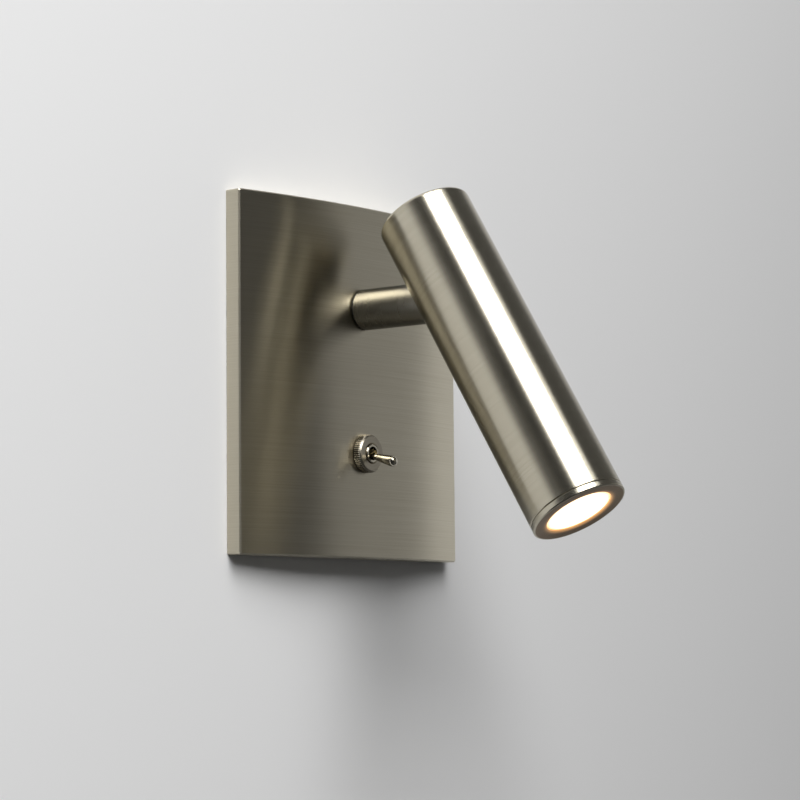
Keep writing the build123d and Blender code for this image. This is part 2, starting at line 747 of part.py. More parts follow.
with BuildPart() as heat_sink:
    with BuildSketch(along_head(sink_end - sink_base)):
        Circle(head_bore - sink_gap)
    extrude(amount=sink_base)
    with BuildSketch(along_head(sink_core_start)):
        Circle(sink_core_radius)
    extrude(amount=sink_end - sink_core_start)
    with BuildSketch(along_head(sink_start)):
        with PolarLocations((head_bore - sink_gap) / 2, sink_fins):
            Rectangle(head_bore - sink_gap, sink_fin_thickness)
        Circle(head_bore - sink_gap, mode=Mode.INTERSECT)
    extrude(amount=sink_end - sink_start)
    with BuildSketch(along_head(sink_core_start)):
        Circle(sink_bore)
    extrude(amount=sink_end - sink_core_start, mode=Mode.SUBTRACT)
    with BuildSketch(along_head(sink_end)):
        with GridLocations(2 * board_screw_circle, 0, 2, 1):
            Circle(board_screw_radius + thread_clearance)
    extrude(amount=-board_screw_depth, mode=Mode.SUBTRACT)

with BuildPart() as thermal_pad:
    with BuildSketch(along_head(sink_end)):
        Circle(board_radius)
        Circle(sink_bore, mode=Mode.SUBTRACT)
        with GridLocations(2 * board_screw_circle, 0, 2, 1):
            Circle(board_screw_radius + fit_clearance, mode=Mode.SUBTRACT)
    extrude(amount=thermal_pad_thickness)

with BuildPart() as led_board:
    with BuildSketch(along_head(board_back)):
        Circle(board_radius)
        with GridLocations(2 * board_screw_circle, 0, 2, 1):
            Circle(board_screw_radius + fit_clearance, mode=Mode.SUBTRACT)
    extrude(amount=board_thickness)

with BuildPart() as led_board_screws:
    with BuildSketch(along_head(sink_end - board_screw_depth)):
        with GridLocations(2 * board_screw_circle, 0, 2, 1):
            Circle(board_screw_radius)
    extrude(amount=board_front - sink_end + board_screw_depth)
    with BuildSketch(along_head(board_front)):
        with GridLocations(2 * board_screw_circle, 0, 2, 1):
            Circle(board_screw_head)
    extrude(amount=board_screw_head_height)

with BuildPart() as led_chip:
    with BuildSketch(along_head(board_front)):
        Rectangle(chip_size, chip_size)
    extrude(amount=chip_thickness)

with BuildPart() as led_phosphor:
    with BuildSketch(along_head(board_front + chip_thickness)):
        Circle(phosphor_radius)
    extrude(amount=phosphor_thickness)

with BuildPart() as reflector:
    bowl_start = board_front + reflector_collar_height
    belly = bowl_start + reflector_belly_share * (lens_back - bowl_start)
    with BuildSketch(turning_plane(pivot, head_direction)):
        with BuildLine():
            collar = Line(
                (reflector_collar_radius, board_front), (reflector_collar_radius, bowl_start)
            )
            bowl = ThreePointArc(
                collar @ 1, (reflector_belly_radius, belly), (reflector_mouth_radius, lens_back)
            )
            rim = Polyline(
                bowl @ 1,
                (lens_radius, lens_back),
                (lens_radius, lens_back - reflector_rim),
                (reflector_mouth_radius + reflector_wall, lens_back - reflector_rim),
            )
            outside = ThreePointArc(
                rim @ 1,
                (reflector_belly_radius + reflector_wall, belly),
                (reflector_collar_radius + reflector_wall, bowl_start),
            )
            Polyline(
                outside @ 1,
                (reflector_collar_radius + reflector_wall, board_front),
                collar @ 0,
            )
        make_face()
    revolve(axis=Axis(pivot, head_direction))

with BuildPart() as lens:
    with BuildSketch(along_head(lens_back)):
        Circle(lens_radius)
    extrude(amount=lens_thickness)

with BuildPart() as lens_gasket:
    with BuildSketch(along_head(lens_front)):
        Circle(lens_radius)
        Circle(lens_radius - gasket_width, mode=Mode.SUBTRACT)
    extrude(amount=gasket_thickness)

with BuildPart() as bezel_ring:
    bezel_back = lens_end - bezel_height
    lip_back = lens_end - bezel_lip
    with BuildSketch(turning_plane(pivot, head_direction)):
        with BuildLine():
            Polyline(
                (neck_inside, bezel_back - bezel_neck_length),
                (neck_outside, bezel_back - bezel_neck_length),
                (neck_outside, bezel_back),
                (head_radius, bezel_back),
                (head_radius, lens_end),
                (aperture_radius + aperture_chamfer, lens_end),
                (aperture_radius, lens_end - aperture_chamfer),
                (aperture_radius, lip_back),
                (neck_inside, lip_back),
                close=True,
            )
        make_face()
    revolve(axis=Axis(pivot, head_direction))
    rims = bezel_ring.edges().filter_by(GeomType.CIRCLE).group_by(SortBy.RADIUS)[-1]
    fillet(rims.sort_by(Axis((0, 0, 0), head_direction))[-1], bezel_edge_radius)

with BuildPart() as head_lead:
    head_lead_start = lead_radius + lead_end_gap
    with BuildSketch(along_head(head_lead_start)):
        Circle(lead_radius)
    extrude(amount=board_back - head_lead_start)

# ---------------------------------------------------------------- driver

case_middle = (case_low + case_high) / 2
case_height = case_high - case_low
circuit_middle = (circuit_low + circuit_high) / 2
connector_middle = connector_low + connector_height / 2

with BuildPart() as driver_case:
    with BuildSketch(facing_room(case_depth, case_middle)):
        RectangleRounded(case_width, case_height, case_corner_radius)
    extrude(amount=case_depth)
    with BuildSketch(facing_room(case_depth, case_middle)):
        RectangleRounded(
            case_width - 2 * case_wall, case_height - 2 * case_wall, case_inside_radius
        )
    extrude(amount=case_depth - case_wall, mode=Mode.SUBTRACT)
    with BuildSketch(facing_room(circuit_front)):
        for post_z in (post_low, post_high):
            with Locations((-post_across, post_z), (post_across, post_z)):
                Circle(post_radius)
    extrude(amount=circuit_front - case_wall / 2)
    with BuildSketch(facing_room(0)):
        with Locations((-post_across, post_low), (post_across, post_low)):
            Circle(screw_radius + thread_clearance)
    extrude(amount=-driver_screw_reach, mode=Mode.SUBTRACT)
    with BuildSketch(facing_room(0)):
        with Locations((0, arm_rise)):
            Circle(grommet_radius)
    extrude(amount=-case_wall, mode=Mode.SUBTRACT)
    with BuildSketch(Plane.XY.offset(case_low)):
        for lead_y in switch_lead_lines:
            with Locations((0, lead_y)):
                Circle(small_lead_radius + fit_clearance)
        for pole_x in pole_places:
            with Locations((pole_x, pole_line)):
                Circle(small_lead_radius + fit_clearance)
    extrude(amount=case_wall, mode=Mode.SUBTRACT)

with BuildPart() as driver_lid:
    lid_gap = case_wall + fit_clearance
    with BuildSketch(facing_room(case_depth, case_middle)):
        RectangleRounded(case_width - 2 * lid_gap, case_height - 2 * lid_gap, case_inside_radius)
    extrude(amount=lid_thickness)

with BuildPart() as driver_board:
    with BuildSketch(facing_room(circuit_back, circuit_middle)):
        Rectangle(circuit_width, circuit_high - circuit_low)
    extrude(amount=circuit_thickness)

with BuildPart() as driver_transformer:
    transformer_x = transformer_inset[0] - case_half
    transformer_z = case_high - transformer_inset[1]
    winding_width, winding_depth, winding_height = winding_size
    core_width, core_depth, core_height = core_size
    with BuildSketch(facing_room(circuit_back, transformer_z, transformer_x)):
        Rectangle(winding_width, winding_height)
    extrude(amount=-winding_depth)
    with BuildSketch(facing_room(circuit_back + core_stand, transformer_z, transformer_x)):
        Rectangle(core_width, core_height)
    extrude(amount=-core_depth)

with BuildPart() as driver_capacitors:
    with BuildSketch(facing_room(circuit_back)):
        for inset_x, inset_z in capacitor_insets:
            with Locations((case_half - inset_x, case_high - inset_z)):
                Circle(capacitor_radius)
    extrude(amount=-capacitor_length)

with BuildPart() as driver_connectors:
    with BuildSketch(facing_room(circuit_back)):
        with Locations((0, connector_middle)):
            Rectangle(switch_connector_width, connector_height)
        with Locations((block_middle_x, connector_middle)):
            Rectangle(supply_connector_width, connector_height)
    extrude(amount=-connector_depth)

with BuildPart() as driver_screws:
    for side in (-1, 1):
        with BuildSketch(facing_room(strap_front_y, post_low, side * post_across)):
            Circle(screw_head_radius)
        extrude(amount=screw_head_height)
        with BuildSketch(facing_room(strap_front_y, post_low, side * post_across)):
            Circle(screw_radius)
        extrude(amount=-(strap_thickness + driver_screw_reach))
        slot_y = strap_front_y - screw_head_height
        with BuildSketch(facing_room(slot_y, post_low, side * post_across)):
            Rectangle(2 * screw_head_radius, driver_slot_width)
        extrude(amount=-driver_slot_depth, mode=Mode.SUBTRACT)

with BuildPart() as terminal_block:
    with BuildSketch(facing_room(block_depth, block_middle_z, block_middle_x)):
        Rectangle(block_width, block_high - block_low)
    extrude(amount=block_depth)
    with BuildSketch(Plane.XY.offset(block_low)):
        for pole_x in pole_places:
            with Locations((pole_x, pole_line)):
                Rectangle(clamp_room, clamp_room)
    extrude(amount=block_high - block_low, mode=Mode.SUBTRACT)
    with BuildSketch(facing_room(block_depth, block_middle_z)):
        for pole_x in pole_places:
            for offset_z in (-clamp_screw_offset, clamp_screw_offset):
                with Locations((pole_x, offset_z)):
                    Circle(clamp_screw_head + fit_clearance)
    extrude(amount=block_depth - pole_line, mode=Mode.SUBTRACT)
    with BuildSketch(facing_room(0, block_middle_z, block_middle_x)):
        Circle(screw_radius + thread_clearance)
    extrude(amount=-block_screw_reach, mode=Mode.SUBTRACT)

with BuildPart() as terminal_clamps:
    for pole_x in pole_places:
        with BuildSketch(Plane.XY.offset(block_middle_z - clamp_length / 2)):
            with Locations((pole_x, pole_line)):
                Rectangle(clamp_size, clamp_size)
        extrude(amount=clamp_length)
    for socket_start in (block_middle_z - clamp_length / 2, block_middle_z + clamp_stop / 2):
        with BuildSketch(Plane.XY.offset(socket_start)):
            for pole_x in pole_places:
                with Locations((pole_x, pole_line)):
                    Circle(clamp_bore)
        extrude(amount=clamp_socket, mode=Mode.SUBTRACT)
    with BuildSketch(facing_room(pole_line + clamp_size, block_middle_z)):
        for pole_x in pole_places:
            for offset_z in (-clamp_screw_offset, clamp_screw_offset):
                with Locations((pole_x, offset_z)):
                    Circle(clamp_screw_radius + thread_clearance)
    extrude(amount=clamp_size, mode=Mode.SUBTRACT)

with BuildPart() as terminal_screws:
    head_under_y = pole_line + clamp_size / 2 + clamp_screw_stand
    for pole_x in pole_places:
        for offset_z in (-clamp_screw_offset, clamp_screw_offset):
            screw_z = block_middle_z + offset_z
            with BuildSketch(facing_room(head_under_y, screw_z, pole_x)):
                Circle(clamp_screw_radius)
            extrude(amount=head_under_y - pole_line - clamp_bore)
            with BuildSketch(facing_room(head_under_y + clamp_screw_head_height, screw_z, pole_x)):
                Circle(clamp_screw_head)
            extrude(amount=clamp_screw_head_height)
            with BuildSketch(facing_room(head_under_y + clamp_screw_head_height, screw_z, pole_x)):
                Rectangle(2 * clamp_screw_head, driver_slot_width)
            extrude(amount=driver_slot_depth, mode=Mode.SUBTRACT)

with BuildPart() as terminal_block_screw:
    with BuildSketch(facing_room(strap_front_y, block_middle_z, block_middle_x)):
        Circle(screw_head_radius)
    extrude(amount=screw_head_height)
    with BuildSketch(facing_room(strap_front_y, block_middle_z, block_middle_x)):
        Circle(screw_radius)
    extrude(amount=-(strap_thickness + block_screw_reach))

with BuildPart() as supply_leads:
    supply_lead_start = block_middle_z + clamp_stop / 2
    with BuildSketch(Plane.XY.offset(supply_lead_start)):
        for pole_x in pole_places:
            with Locations((pole_x, pole_line)):
                Circle(small_lead_radius)
    extrude(amount=connector_low - supply_lead_start)

with BuildPart() as switch_leads:
    for lead_y, lug_z in zip(switch_lead_lines, switch_lead_lugs):
        lead_bend = switch_lead_bend * (lead_y - lug_end_y)
        with BuildLine():
            route = FilletPolyline(
                (0, lug_end_y, lug_z), (0, lead_y, lug_z), (0, lead_y, connector_low), radius=lead_bend
            )
        with BuildSketch(Plane(origin=route @ 0, x_dir=(1, 0, 0), z_dir=route % 0)):
            Circle(small_lead_radius)
        sweep(path=route)
        print("switch lead bend radius", round(lead_bend, 2))

# ---------------------------------------------------------------- limits and files

stop_angle = degrees(asin((stop_tab_width / 2 + stop_peg_radius) / stop_peg_circle))
print("arm swivel stops at", round(180 - stop_angle, 2), "degrees each way")
print("head tilt from rest:", tilt_low - head_tilt, "to", tilt_high - head_tilt)
print("lever throw", 2 * lever_rest_angle)
print("slot from", round(-slot_foot, 2), "to", round(slot_top, 2), "cap starts", top_end - cap_thickness)

finished = {
    "face_plate": face_plate,
    "mounting_bracket": mounting_bracket,
    "plate_grub_screws": plate_grub_screws,
    "earth_washer": earth_washer,
    "earth_screw": earth_screw,
    "lead_grommet": lead_grommet,
    "stop_peg": stop_peg,
    "knurled_nut": knurled_nut,
    "toggle_bushing": toggle_bushing,
    "toggle_lever": toggle_lever,
    "toggle_lock_washer": toggle_lock_washer,
    "toggle_rear_nut": toggle_rear_nut,
    "toggle_body": toggle_body,
    "toggle_terminals": toggle_terminals,
    "arm_base_washer": arm_base_washer,
    "arm_tube": arm_tube,
    "arm_stem": arm_stem,
    "stem_friction_washer": stem_friction_washer,
    "stem_spring_washer": stem_spring_washer,
    "stem_stop_washer": stem_stop_washer,
    "stem_nut": stem_nut,
    "arm_knuckle": arm_knuckle,
    "trunnion_washers": trunnion_washers,
    "trunnion_screws": trunnion_screws,
    "arm_lead": arm_lead,
    "head_tube": head_tube,
    "head_cap": head_cap,
    "head_yoke": head_yoke,
    "yoke_screw": yoke_screw,
    "heat_sink": heat_sink,
    "thermal_pad": thermal_pad,
    "led_board": led_board,
    "led_board_screws": led_board_screws,
    "led_chip": led_chip,
    "led_phosphor": led_phosphor,
    "reflector": reflector,
    "lens": lens,
    "lens_gasket": lens_gasket,
    "bezel_ring": bezel_ring,
    "head_lead": head_lead,
    "driver_case": driver_case,
    "driver_lid": driver_lid,
    "driver_board": driver_board,
    "driver_transformer": driver_transformer,
    "driver_capacitors": driver_capacitors,
    "driver_connectors": driver_connectors,
    "driver_screws": driver_screws,
    "terminal_block": terminal_block,
    "terminal_clamps": terminal_clamps,
    "terminal_screws": terminal_screws,
    "terminal_block_screw": terminal_block_screw,
    "supply_leads": supply_leads,
    "switch_leads": switch_leads,
}

for name, piece in finished.items():
    piece.part.label = name
    export_step(piece.part, f"parts/{name}.step")
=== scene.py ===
"""Looks of a bedside wall reading lamp in satin nickel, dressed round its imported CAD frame.

The wall is the plane Y = 0, the room is on the -Y side, +X is right and +Z is up.
Sizes are in metres; MM turns a size in millimetres into metres.
"""

from __future__ import annotations

import logging
import math
from abc import ABC, abstractmethod
from dataclasses import dataclass
from enum import Enum

import bmesh
import bpy
from mathutils import Matrix, Vector

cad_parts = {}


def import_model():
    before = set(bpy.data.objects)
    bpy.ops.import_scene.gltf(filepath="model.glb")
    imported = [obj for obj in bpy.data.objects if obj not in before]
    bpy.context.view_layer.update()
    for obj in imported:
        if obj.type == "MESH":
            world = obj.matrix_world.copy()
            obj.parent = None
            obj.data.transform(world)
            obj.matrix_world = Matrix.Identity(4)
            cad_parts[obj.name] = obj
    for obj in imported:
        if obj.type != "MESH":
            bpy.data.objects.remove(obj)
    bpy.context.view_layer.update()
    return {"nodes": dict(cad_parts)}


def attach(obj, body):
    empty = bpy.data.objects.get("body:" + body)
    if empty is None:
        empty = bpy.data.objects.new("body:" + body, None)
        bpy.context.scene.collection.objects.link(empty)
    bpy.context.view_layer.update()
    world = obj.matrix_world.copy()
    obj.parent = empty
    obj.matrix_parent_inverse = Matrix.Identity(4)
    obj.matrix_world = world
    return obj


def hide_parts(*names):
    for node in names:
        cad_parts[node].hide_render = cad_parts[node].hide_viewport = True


LOG = logging.getLogger("reading_lamp")
MM = 0.001

HEAD_TILT = math.radians(31.0)
PIVOT = Vector((0.0, -55.6, 24.5)) * MM
HEAD_UP = Vector((0.0, math.sin(HEAD_TILT), math.cos(HEAD_TILT)))
INTO_ROOM = Vector((0.0, -1.0, 0.0))
SWITCH_PLACE = Vector((0.0, 0.0, -24.7)) * MM
ARM_PLACE = Vector((0.0, 0.0, 24.5)) * MM
LEVER_DROP = math.radians(14.6)
LEVER_PIVOT = Vector((0.0, -11.25, -24.7)) * MM
LEVER_AXIS = Vector((0.0, -math.cos(LEVER_DROP), -math.sin(LEVER_DROP)))


class Body(Enum):
    """The CAD bodies that a piece can ride on."""

    ROOT = "root"
    LEVER = "lever"
    ARM = "arm"
    HEAD = "head"


class Slot(Enum):
    """The record's material slots."""

    PLATE_NICKEL = "plate_nickel"
    TUBE_NICKEL = "tube_nickel"
    ARM_NICKEL = "arm_nickel"
    BRIGHT_NICKEL = "bright_nickel"
    ZINC_STEEL = "zinc_steel"
    TURNED_BRASS = "turned_brass"
    TINNED_COPPER = "tinned_copper"
    BARE_ALUMINIUM = "bare_aluminium"
    BLACK_NYLON = "black_nylon"
    BLACK_RUBBER = "black_rubber"
    SWITCH_PHENOLIC = "switch_phenolic"
    WHITE_PLASTIC = "white_plastic"
    CIRCUIT_GREEN = "circuit_green"
    BOARD_WHITE = "board_white"
    WINDING_YELLOW = "winding_yellow"
    CAPACITOR_SLEEVE = "capacitor_sleeve"
    PAD_GREY = "pad_grey"
    CHIP_CERAMIC = "chip_ceramic"
    PHOSPHOR_YELLOW = "phosphor_yellow"
    REFLECTOR_CHROME = "reflector_chrome"
    LENS_GLASS = "lens_glass"
    LEAD_WHITE = "lead_white"
    LEAD_BLACK = "lead_black"


# ---------------------------------------------------------------- shader helpers


def linear(hex_colour: str) -> tuple[float, float, float, float]:
    """Turns an sRGB hex colour into the linear values that Blender's sockets take.

    Args:
        hex_colour: six hex digits, such as "CDC7B4".

    Returns:
        Red, green, blue and an alpha of one, linear.
    """
    channels = [int(hex_colour[i : i + 2], 16) / 255.0 for i in (0, 2, 4)]
    curve = [c / 12.92 if c <= 0.04045 else ((c + 0.055) / 1.055) ** 2.4 for c in channels]
    return (curve[0], curve[1], curve[2], 1.0)


def add_node(tree: bpy.types.NodeTree, kind: str, inputs: dict | None = None, **settings: object) -> bpy.types.Node:
    """Adds a shader node, sets its properties and fills or links its inputs.

    Args:
        tree: the node tree to add it to.
        kind: the node's type name.
        inputs: a value, or another node's output to link, for each input by name or place.
        **settings: properties of the node, such as operation.

    Returns:
        The new node.
    """
    node = tree.nodes.new(kind)
    for name, value in settings.items():
        setattr(node, name, value)
    for name, value in (inputs or {}).items():
        if isinstance(value, bpy.types.NodeSocket):
            tree.links.new(value, node.inputs[name])
        else:
            node.inputs[name].default_value = value
    return node


def object_point(tree: bpy.types.NodeTree, turn: tuple = (0, 0, 0), place: Vector | None = None, cell: tuple = (1, 1, 1)) -> bpy.types.NodeSocket:
    """Gives the place of a surface point in a turned and stretched frame of its piece.

    Args:
        tree: the node tree.
        turn: Euler angles of the frame.
        place: origin of the frame.
        cell: size of one unit of the pattern along each of the frame's axes.

    Returns:
        The socket with the point.
    """
    coordinates = add_node(tree, "ShaderNodeTexCoord")
    mapping = add_node(
        tree,
        "ShaderNodeMapping",
        {"Vector": coordinates.outputs["Object"], "Location": place or (0, 0, 0), "Rotation": turn, "Scale": cell},
        vector_type="TEXTURE",
    )
    return mapping.outputs["Vector"]


def noise(tree: bpy.types.NodeTree, point: bpy.types.NodeSocket, scale: float = 1.0, detail: float = 3.0) -> bpy.types.NodeSocket:
    """Gives smooth noise from 0 to 1 at a point.

    Args:
        tree: the node tree.
        point: where the noise is read.
        scale: how many units of noise fit in one unit of the point.
        detail: how many finer layers are added.

    Returns:
        The socket with the noise.
    """
    node = add_node(tree, "ShaderNodeTexNoise", {"Vector": point, "Scale": scale, "Detail": detail, "Roughness": 0.6})
    return node.outputs["Fac"]


def spread(tree: bpy.types.NodeTree, factor: bpy.types.NodeSocket, low: float, high: float, dark: float = 0.3, light: float = 0.7) -> bpy.types.NodeSocket:
    """Maps the middle range of a noise onto a range of values.

    Args:
        tree: the node tree.
        factor: the noise.
        low: value where the noise is at or below dark.
        high: value where the noise is at or above light.
        dark: lower end of the noise's range.
        light: upper end of the noise's range.

    Returns:
        The socket with the mapped value.
    """
    node = add_node(
        tree,
        "ShaderNodeMapRange",
        {"Value": factor, "From Min": dark, "From Max": light, "To Min": low, "To Max": high},
    )
    return node.outputs["Result"]


def blend_colours(tree: bpy.types.NodeTree, factor: bpy.types.NodeSocket, first: object, second: object) -> bpy.types.NodeSocket:
    """Blends two colours by a factor.

    Args:
        tree: the node tree.
        factor: 0 gives the first colour and 1 the second.
        first: a linear colour or a socket.
        second: a linear colour or a socket.

    Returns:
        The socket with the blend.
    """
    node = add_node(tree, "ShaderNodeMix", {0: factor, 6: first, 7: second}, data_type="RGBA")
    return node.outputs[2]


def relief(tree: bpy.types.NodeTree, height: bpy.types.NodeSocket, depth: float) -> bpy.types.NodeSocket:
    """Turns a height from 0 to 1 into a bumped normal.

    Args:
        tree: the node tree.
        height: the height.
        depth: how far a height of one stands out, in metres.

    Returns:
        The socket with the normal.
    """
    node = add_node(tree, "ShaderNodeBump", {"Height": height, "Distance": depth, "Strength": 1.0})
    return node.outputs["Normal"]


# ---------------------------------------------------------------- finishes


@dataclass(frozen=True)
class Finish(ABC):
    """A surface finish, named for the real material, that one material slot of the record takes."""

    name: str
    slot: Slot
    colour: str

    @abstractmethod
    def shade(self, tree: bpy.types.NodeTree, shader: bpy.types.Node) -> None:
        """Sets the sockets of the shader."""

    def build(self) -> bpy.types.Material:
        """Makes the finish's material.

        Returns:
            The new material.
        """
        material = bpy.data.materials.new(self.name)
        material.use_nodes = True
        tree = material.node_tree
        tree.nodes.clear()
        shader = add_node(tree, "ShaderNodeBsdfPrincipled", {"Base Color": linear(self.colour)})
        add_node(tree, "ShaderNodeOutputMaterial", {"Surface": shader.outputs["BSDF"]})
        self.shade(tree, shader)
        return material


@dataclass(frozen=True)
class BrushedNickel(Finish):
    """Electroplated nickel brushed with an abrasive belt or on a lathe.

    The lines are far finer than a pixel. What the eye gets is a reflection that is drawn
    out across the lines, and a faint grain along them.
    """

    worn: str
    roughness: float
    pull: float
    turned_on: tuple[Vector, Vector] | None = None
    line_pitch: float = 0.3 * MM
    line_length: float = 45.0 * MM
    groove: float = 0.00007 * MM

    def line_direction(self, tree: bpy.types.NodeTree) -> bpy.types.NodeSocket:
        """Gives the direction of the brushing lines in world space.

        Args:
            tree: the node tree.

        Returns:
            The socket with the direction.
        """
        inputs: dict = {"Vector": (1.0, 0.0, 0.02)}
        if self.turned_on:
            place, axis = self.turned_on
            coordinates = add_node(tree, "ShaderNodeTexCoord")
            offset = add_node(tree, "ShaderNodeVectorMath", {0: coordinates.outputs["Object"], 1: place}, operation="SUBTRACT")
            round_axis = add_node(tree, "ShaderNodeVectorMath", {0: tuple(axis), 1: offset.outputs[0]}, operation="CROSS_PRODUCT")
            inputs = {"Vector": round_axis.outputs[0]}
        turned = add_node(tree, "ShaderNodeVectorTransform", inputs, vector_type="VECTOR", convert_from="OBJECT", convert_to="WORLD")
        return turned.outputs["Vector"]

    def pattern_point(self, tree: bpy.types.NodeTree) -> bpy.types.NodeSocket:
        """Gives the point at which the brushing noise is read, stretched along the lines.

        Args:
            tree: the node tree.

        Returns:
            The socket with the point.
        """
        long_cell = (self.line_length, self.line_length, self.line_pitch)
        if not self.turned_on:
            return object_point(tree, cell=long_cell)
        place, axis = self.turned_on
        turn = tuple(Vector((0, 0, 1)).rotation_difference(axis).to_euler())
        local = object_point(tree, turn, place)
        parts = add_node(tree, "ShaderNodeSeparateXYZ", {"Vector": local})
        flat = add_node(tree, "ShaderNodeCombineXYZ", {"X": parts.outputs["X"], "Y": parts.outputs["Y"]})
        radius = add_node(tree, "ShaderNodeVectorMath", {0: flat.outputs["Vector"]}, operation="LENGTH")
        across = add_node(tree, "ShaderNodeMath", {0: parts.outputs["Z"], 1: radius.outputs["Value"]}, operation="ADD")
        point = add_node(
            tree,
            "ShaderNodeCombineXYZ",
            {"X": parts.outputs["X"], "Y": parts.outputs["Y"], "Z": across.outputs["Value"]},
        )
        scaled = add_node(
            tree,
            "ShaderNodeVectorMath",
            {0: point.outputs["Vector"], 1: tuple(1 / size for size in long_cell)},
            operation="MULTIPLY",
        )
        return scaled.outputs[0]

    def shade(self, tree: bpy.types.NodeTree, shader: bpy.types.Node) -> None:
        """Sets metal, stretched gloss and brushing grain.

        Args:
            tree: the node tree.
            shader: the Principled shader.
        """
        lines = noise(tree, self.pattern_point(tree), 1.0, 4.0)
        cloud = noise(tree, object_point(tree), 60.0, 2.0)
        geometry = add_node(tree, "ShaderNodeNewGeometry")
        tangent = add_node(
            tree,
            "ShaderNodeVectorMath",
            {0: geometry.outputs["Normal"], 1: self.line_direction(tree)},
            operation="CROSS_PRODUCT",
        )
        colour = blend_colours(tree, spread(tree, lines, 0.0, 1.0), linear(self.worn), linear(self.colour))
        both = add_node(tree, "ShaderNodeMath", {0: lines, 1: cloud}, operation="ADD")
        gloss = spread(tree, both.outputs["Value"], self.roughness * 0.95, self.roughness * 1.05, 0.7, 1.3)
        shader.inputs["Metallic"].default_value = 1.0
        shader.inputs["Anisotropic"].default_value = self.pull
        for name, socket in (
            ("Base Color", colour),
            ("Roughness", gloss),
            ("Normal", relief(tree, lines, self.groove)),
            ("Tangent", tangent.outputs[0]),
        ):
            tree.links.new(socket, shader.inputs[name])


@dataclass(frozen=True)
class LensLightPaintedNickel(BrushedNickel):
    """Brushed nickel on the bezel, with the lens's warm light painted on its lip.

    The eye gets a dark brown ring whose inner edge glows amber: painted light, a brown cast and an emission that stand
    in for the lens's light.
    """

    painted_lens_light_colour: str = "79654A"
    painted_glow_colour: str = "E8AE74"
    lip_height: float = -83.55 * MM
    lip_radius: float = 15.75 * MM
    painted_glow_from: float = 14.0 * MM
    painted_glow_to: float = 11.3 * MM
    painted_glow_strength: float = 0.7

    def shade(self, tree: bpy.types.NodeTree, shader: bpy.types.Node) -> None:
        """Adds the painted lens light to the brushed metal: a brown cast on the lip and an amber glow at its inner
        edge.

        Args:
            tree: the node tree.
            shader: the Principled shader.
        """
        super().shade(tree, shader)
        turn = tuple(Vector((0, 0, 1)).rotation_difference(HEAD_UP).to_euler())
        parts = add_node(tree, "ShaderNodeSeparateXYZ", {"Vector": object_point(tree, turn, PIVOT)})
        flat = add_node(tree, "ShaderNodeCombineXYZ", {"X": parts.outputs["X"], "Y": parts.outputs["Y"]})
        radius = add_node(tree, "ShaderNodeVectorMath", {0: flat.outputs["Vector"]}, operation="LENGTH").outputs["Value"]
        front = add_node(tree, "ShaderNodeMath", {0: parts.outputs["Z"], 1: self.lip_height}, operation="LESS_THAN")
        inside = spread(tree, radius, 1.0, 0.0, self.lip_radius - 0.3 * MM, self.lip_radius)
        lip = add_node(tree, "ShaderNodeMath", {0: front.outputs["Value"], 1: inside}, operation="MULTIPLY")
        near = spread(tree, radius, 1.0, 0.0, self.painted_glow_to, self.painted_glow_from)
        falloff = add_node(tree, "ShaderNodeMath", {0: near, 1: 4.0}, operation="POWER")
        glow = add_node(tree, "ShaderNodeMath", {0: falloff.outputs["Value"], 1: lip.outputs["Value"]}, operation="MULTIPLY")
        strength = add_node(tree, "ShaderNodeMath", {0: glow.outputs["Value"], 1: self.painted_glow_strength}, operation="MULTIPLY")
        # Painted light: the lip's brown colour and amber emission stand in for the lens's light falling on it.
        metal = shader.inputs["Base Color"].links[0].from_socket
        painted_lens_light = blend_colours(tree, lip.outputs["Value"], metal, linear(self.painted_lens_light_colour))
        shader.inputs["Emission Color"].default_value = linear(self.painted_glow_colour)
        tree.links.new(painted_lens_light, shader.inputs["Base Color"])
        tree.links.new(strength.outputs["Value"], shader.inputs["Emission Strength"])


@dataclass(frozen=True)
class KnurledNickel(BrushedNickel):
    """Nickel on a part that was faced on a lathe and knurled.

    The eye gets a soft face and a row of bright teeth with dark gaps, whose darkness is painted shade.
    """

    knurl_painted_shade_colour: str = "2B2620"
    gap_radius: float = 6.36 * MM
    band_height: float = 13.52 * MM

    def shade(self, tree: bpy.types.NodeTree, shader: bpy.types.Node) -> None:
        """Paints shade into the gaps of the knurl on the brushed metal.

        Args:
            tree: the node tree.
            shader: the Principled shader.
        """
        super().shade(tree, shader)
        place, axis = self.turned_on
        turn = tuple(Vector((0, 0, 1)).rotation_difference(axis).to_euler())
        parts = add_node(tree, "ShaderNodeSeparateXYZ", {"Vector": object_point(tree, turn, place)})
        flat = add_node(tree, "ShaderNodeCombineXYZ", {"X": parts.outputs["X"], "Y": parts.outputs["Y"]})
        radius = add_node(tree, "ShaderNodeVectorMath", {0: flat.outputs["Vector"]}, operation="LENGTH").outputs["Value"]
        deep = spread(tree, radius, 1.0, 0.0, self.gap_radius - 0.04 * MM, self.gap_radius + 0.04 * MM)
        band = spread(tree, parts.outputs["Z"], 1.0, 0.0, self.band_height, self.band_height + 0.05 * MM)
        knurl_painted_shade = add_node(tree, "ShaderNodeMath", {0: deep, 1: band}, operation="MULTIPLY")
        # Painted shade: the knurl's gaps are darkened where the teeth shade them.
        metal = shader.inputs["Base Color"].links[0].from_socket
        tree.links.new(blend_colours(tree, knurl_painted_shade.outputs["Value"], metal, linear(self.knurl_painted_shade_colour)), shader.inputs["Base Color"])


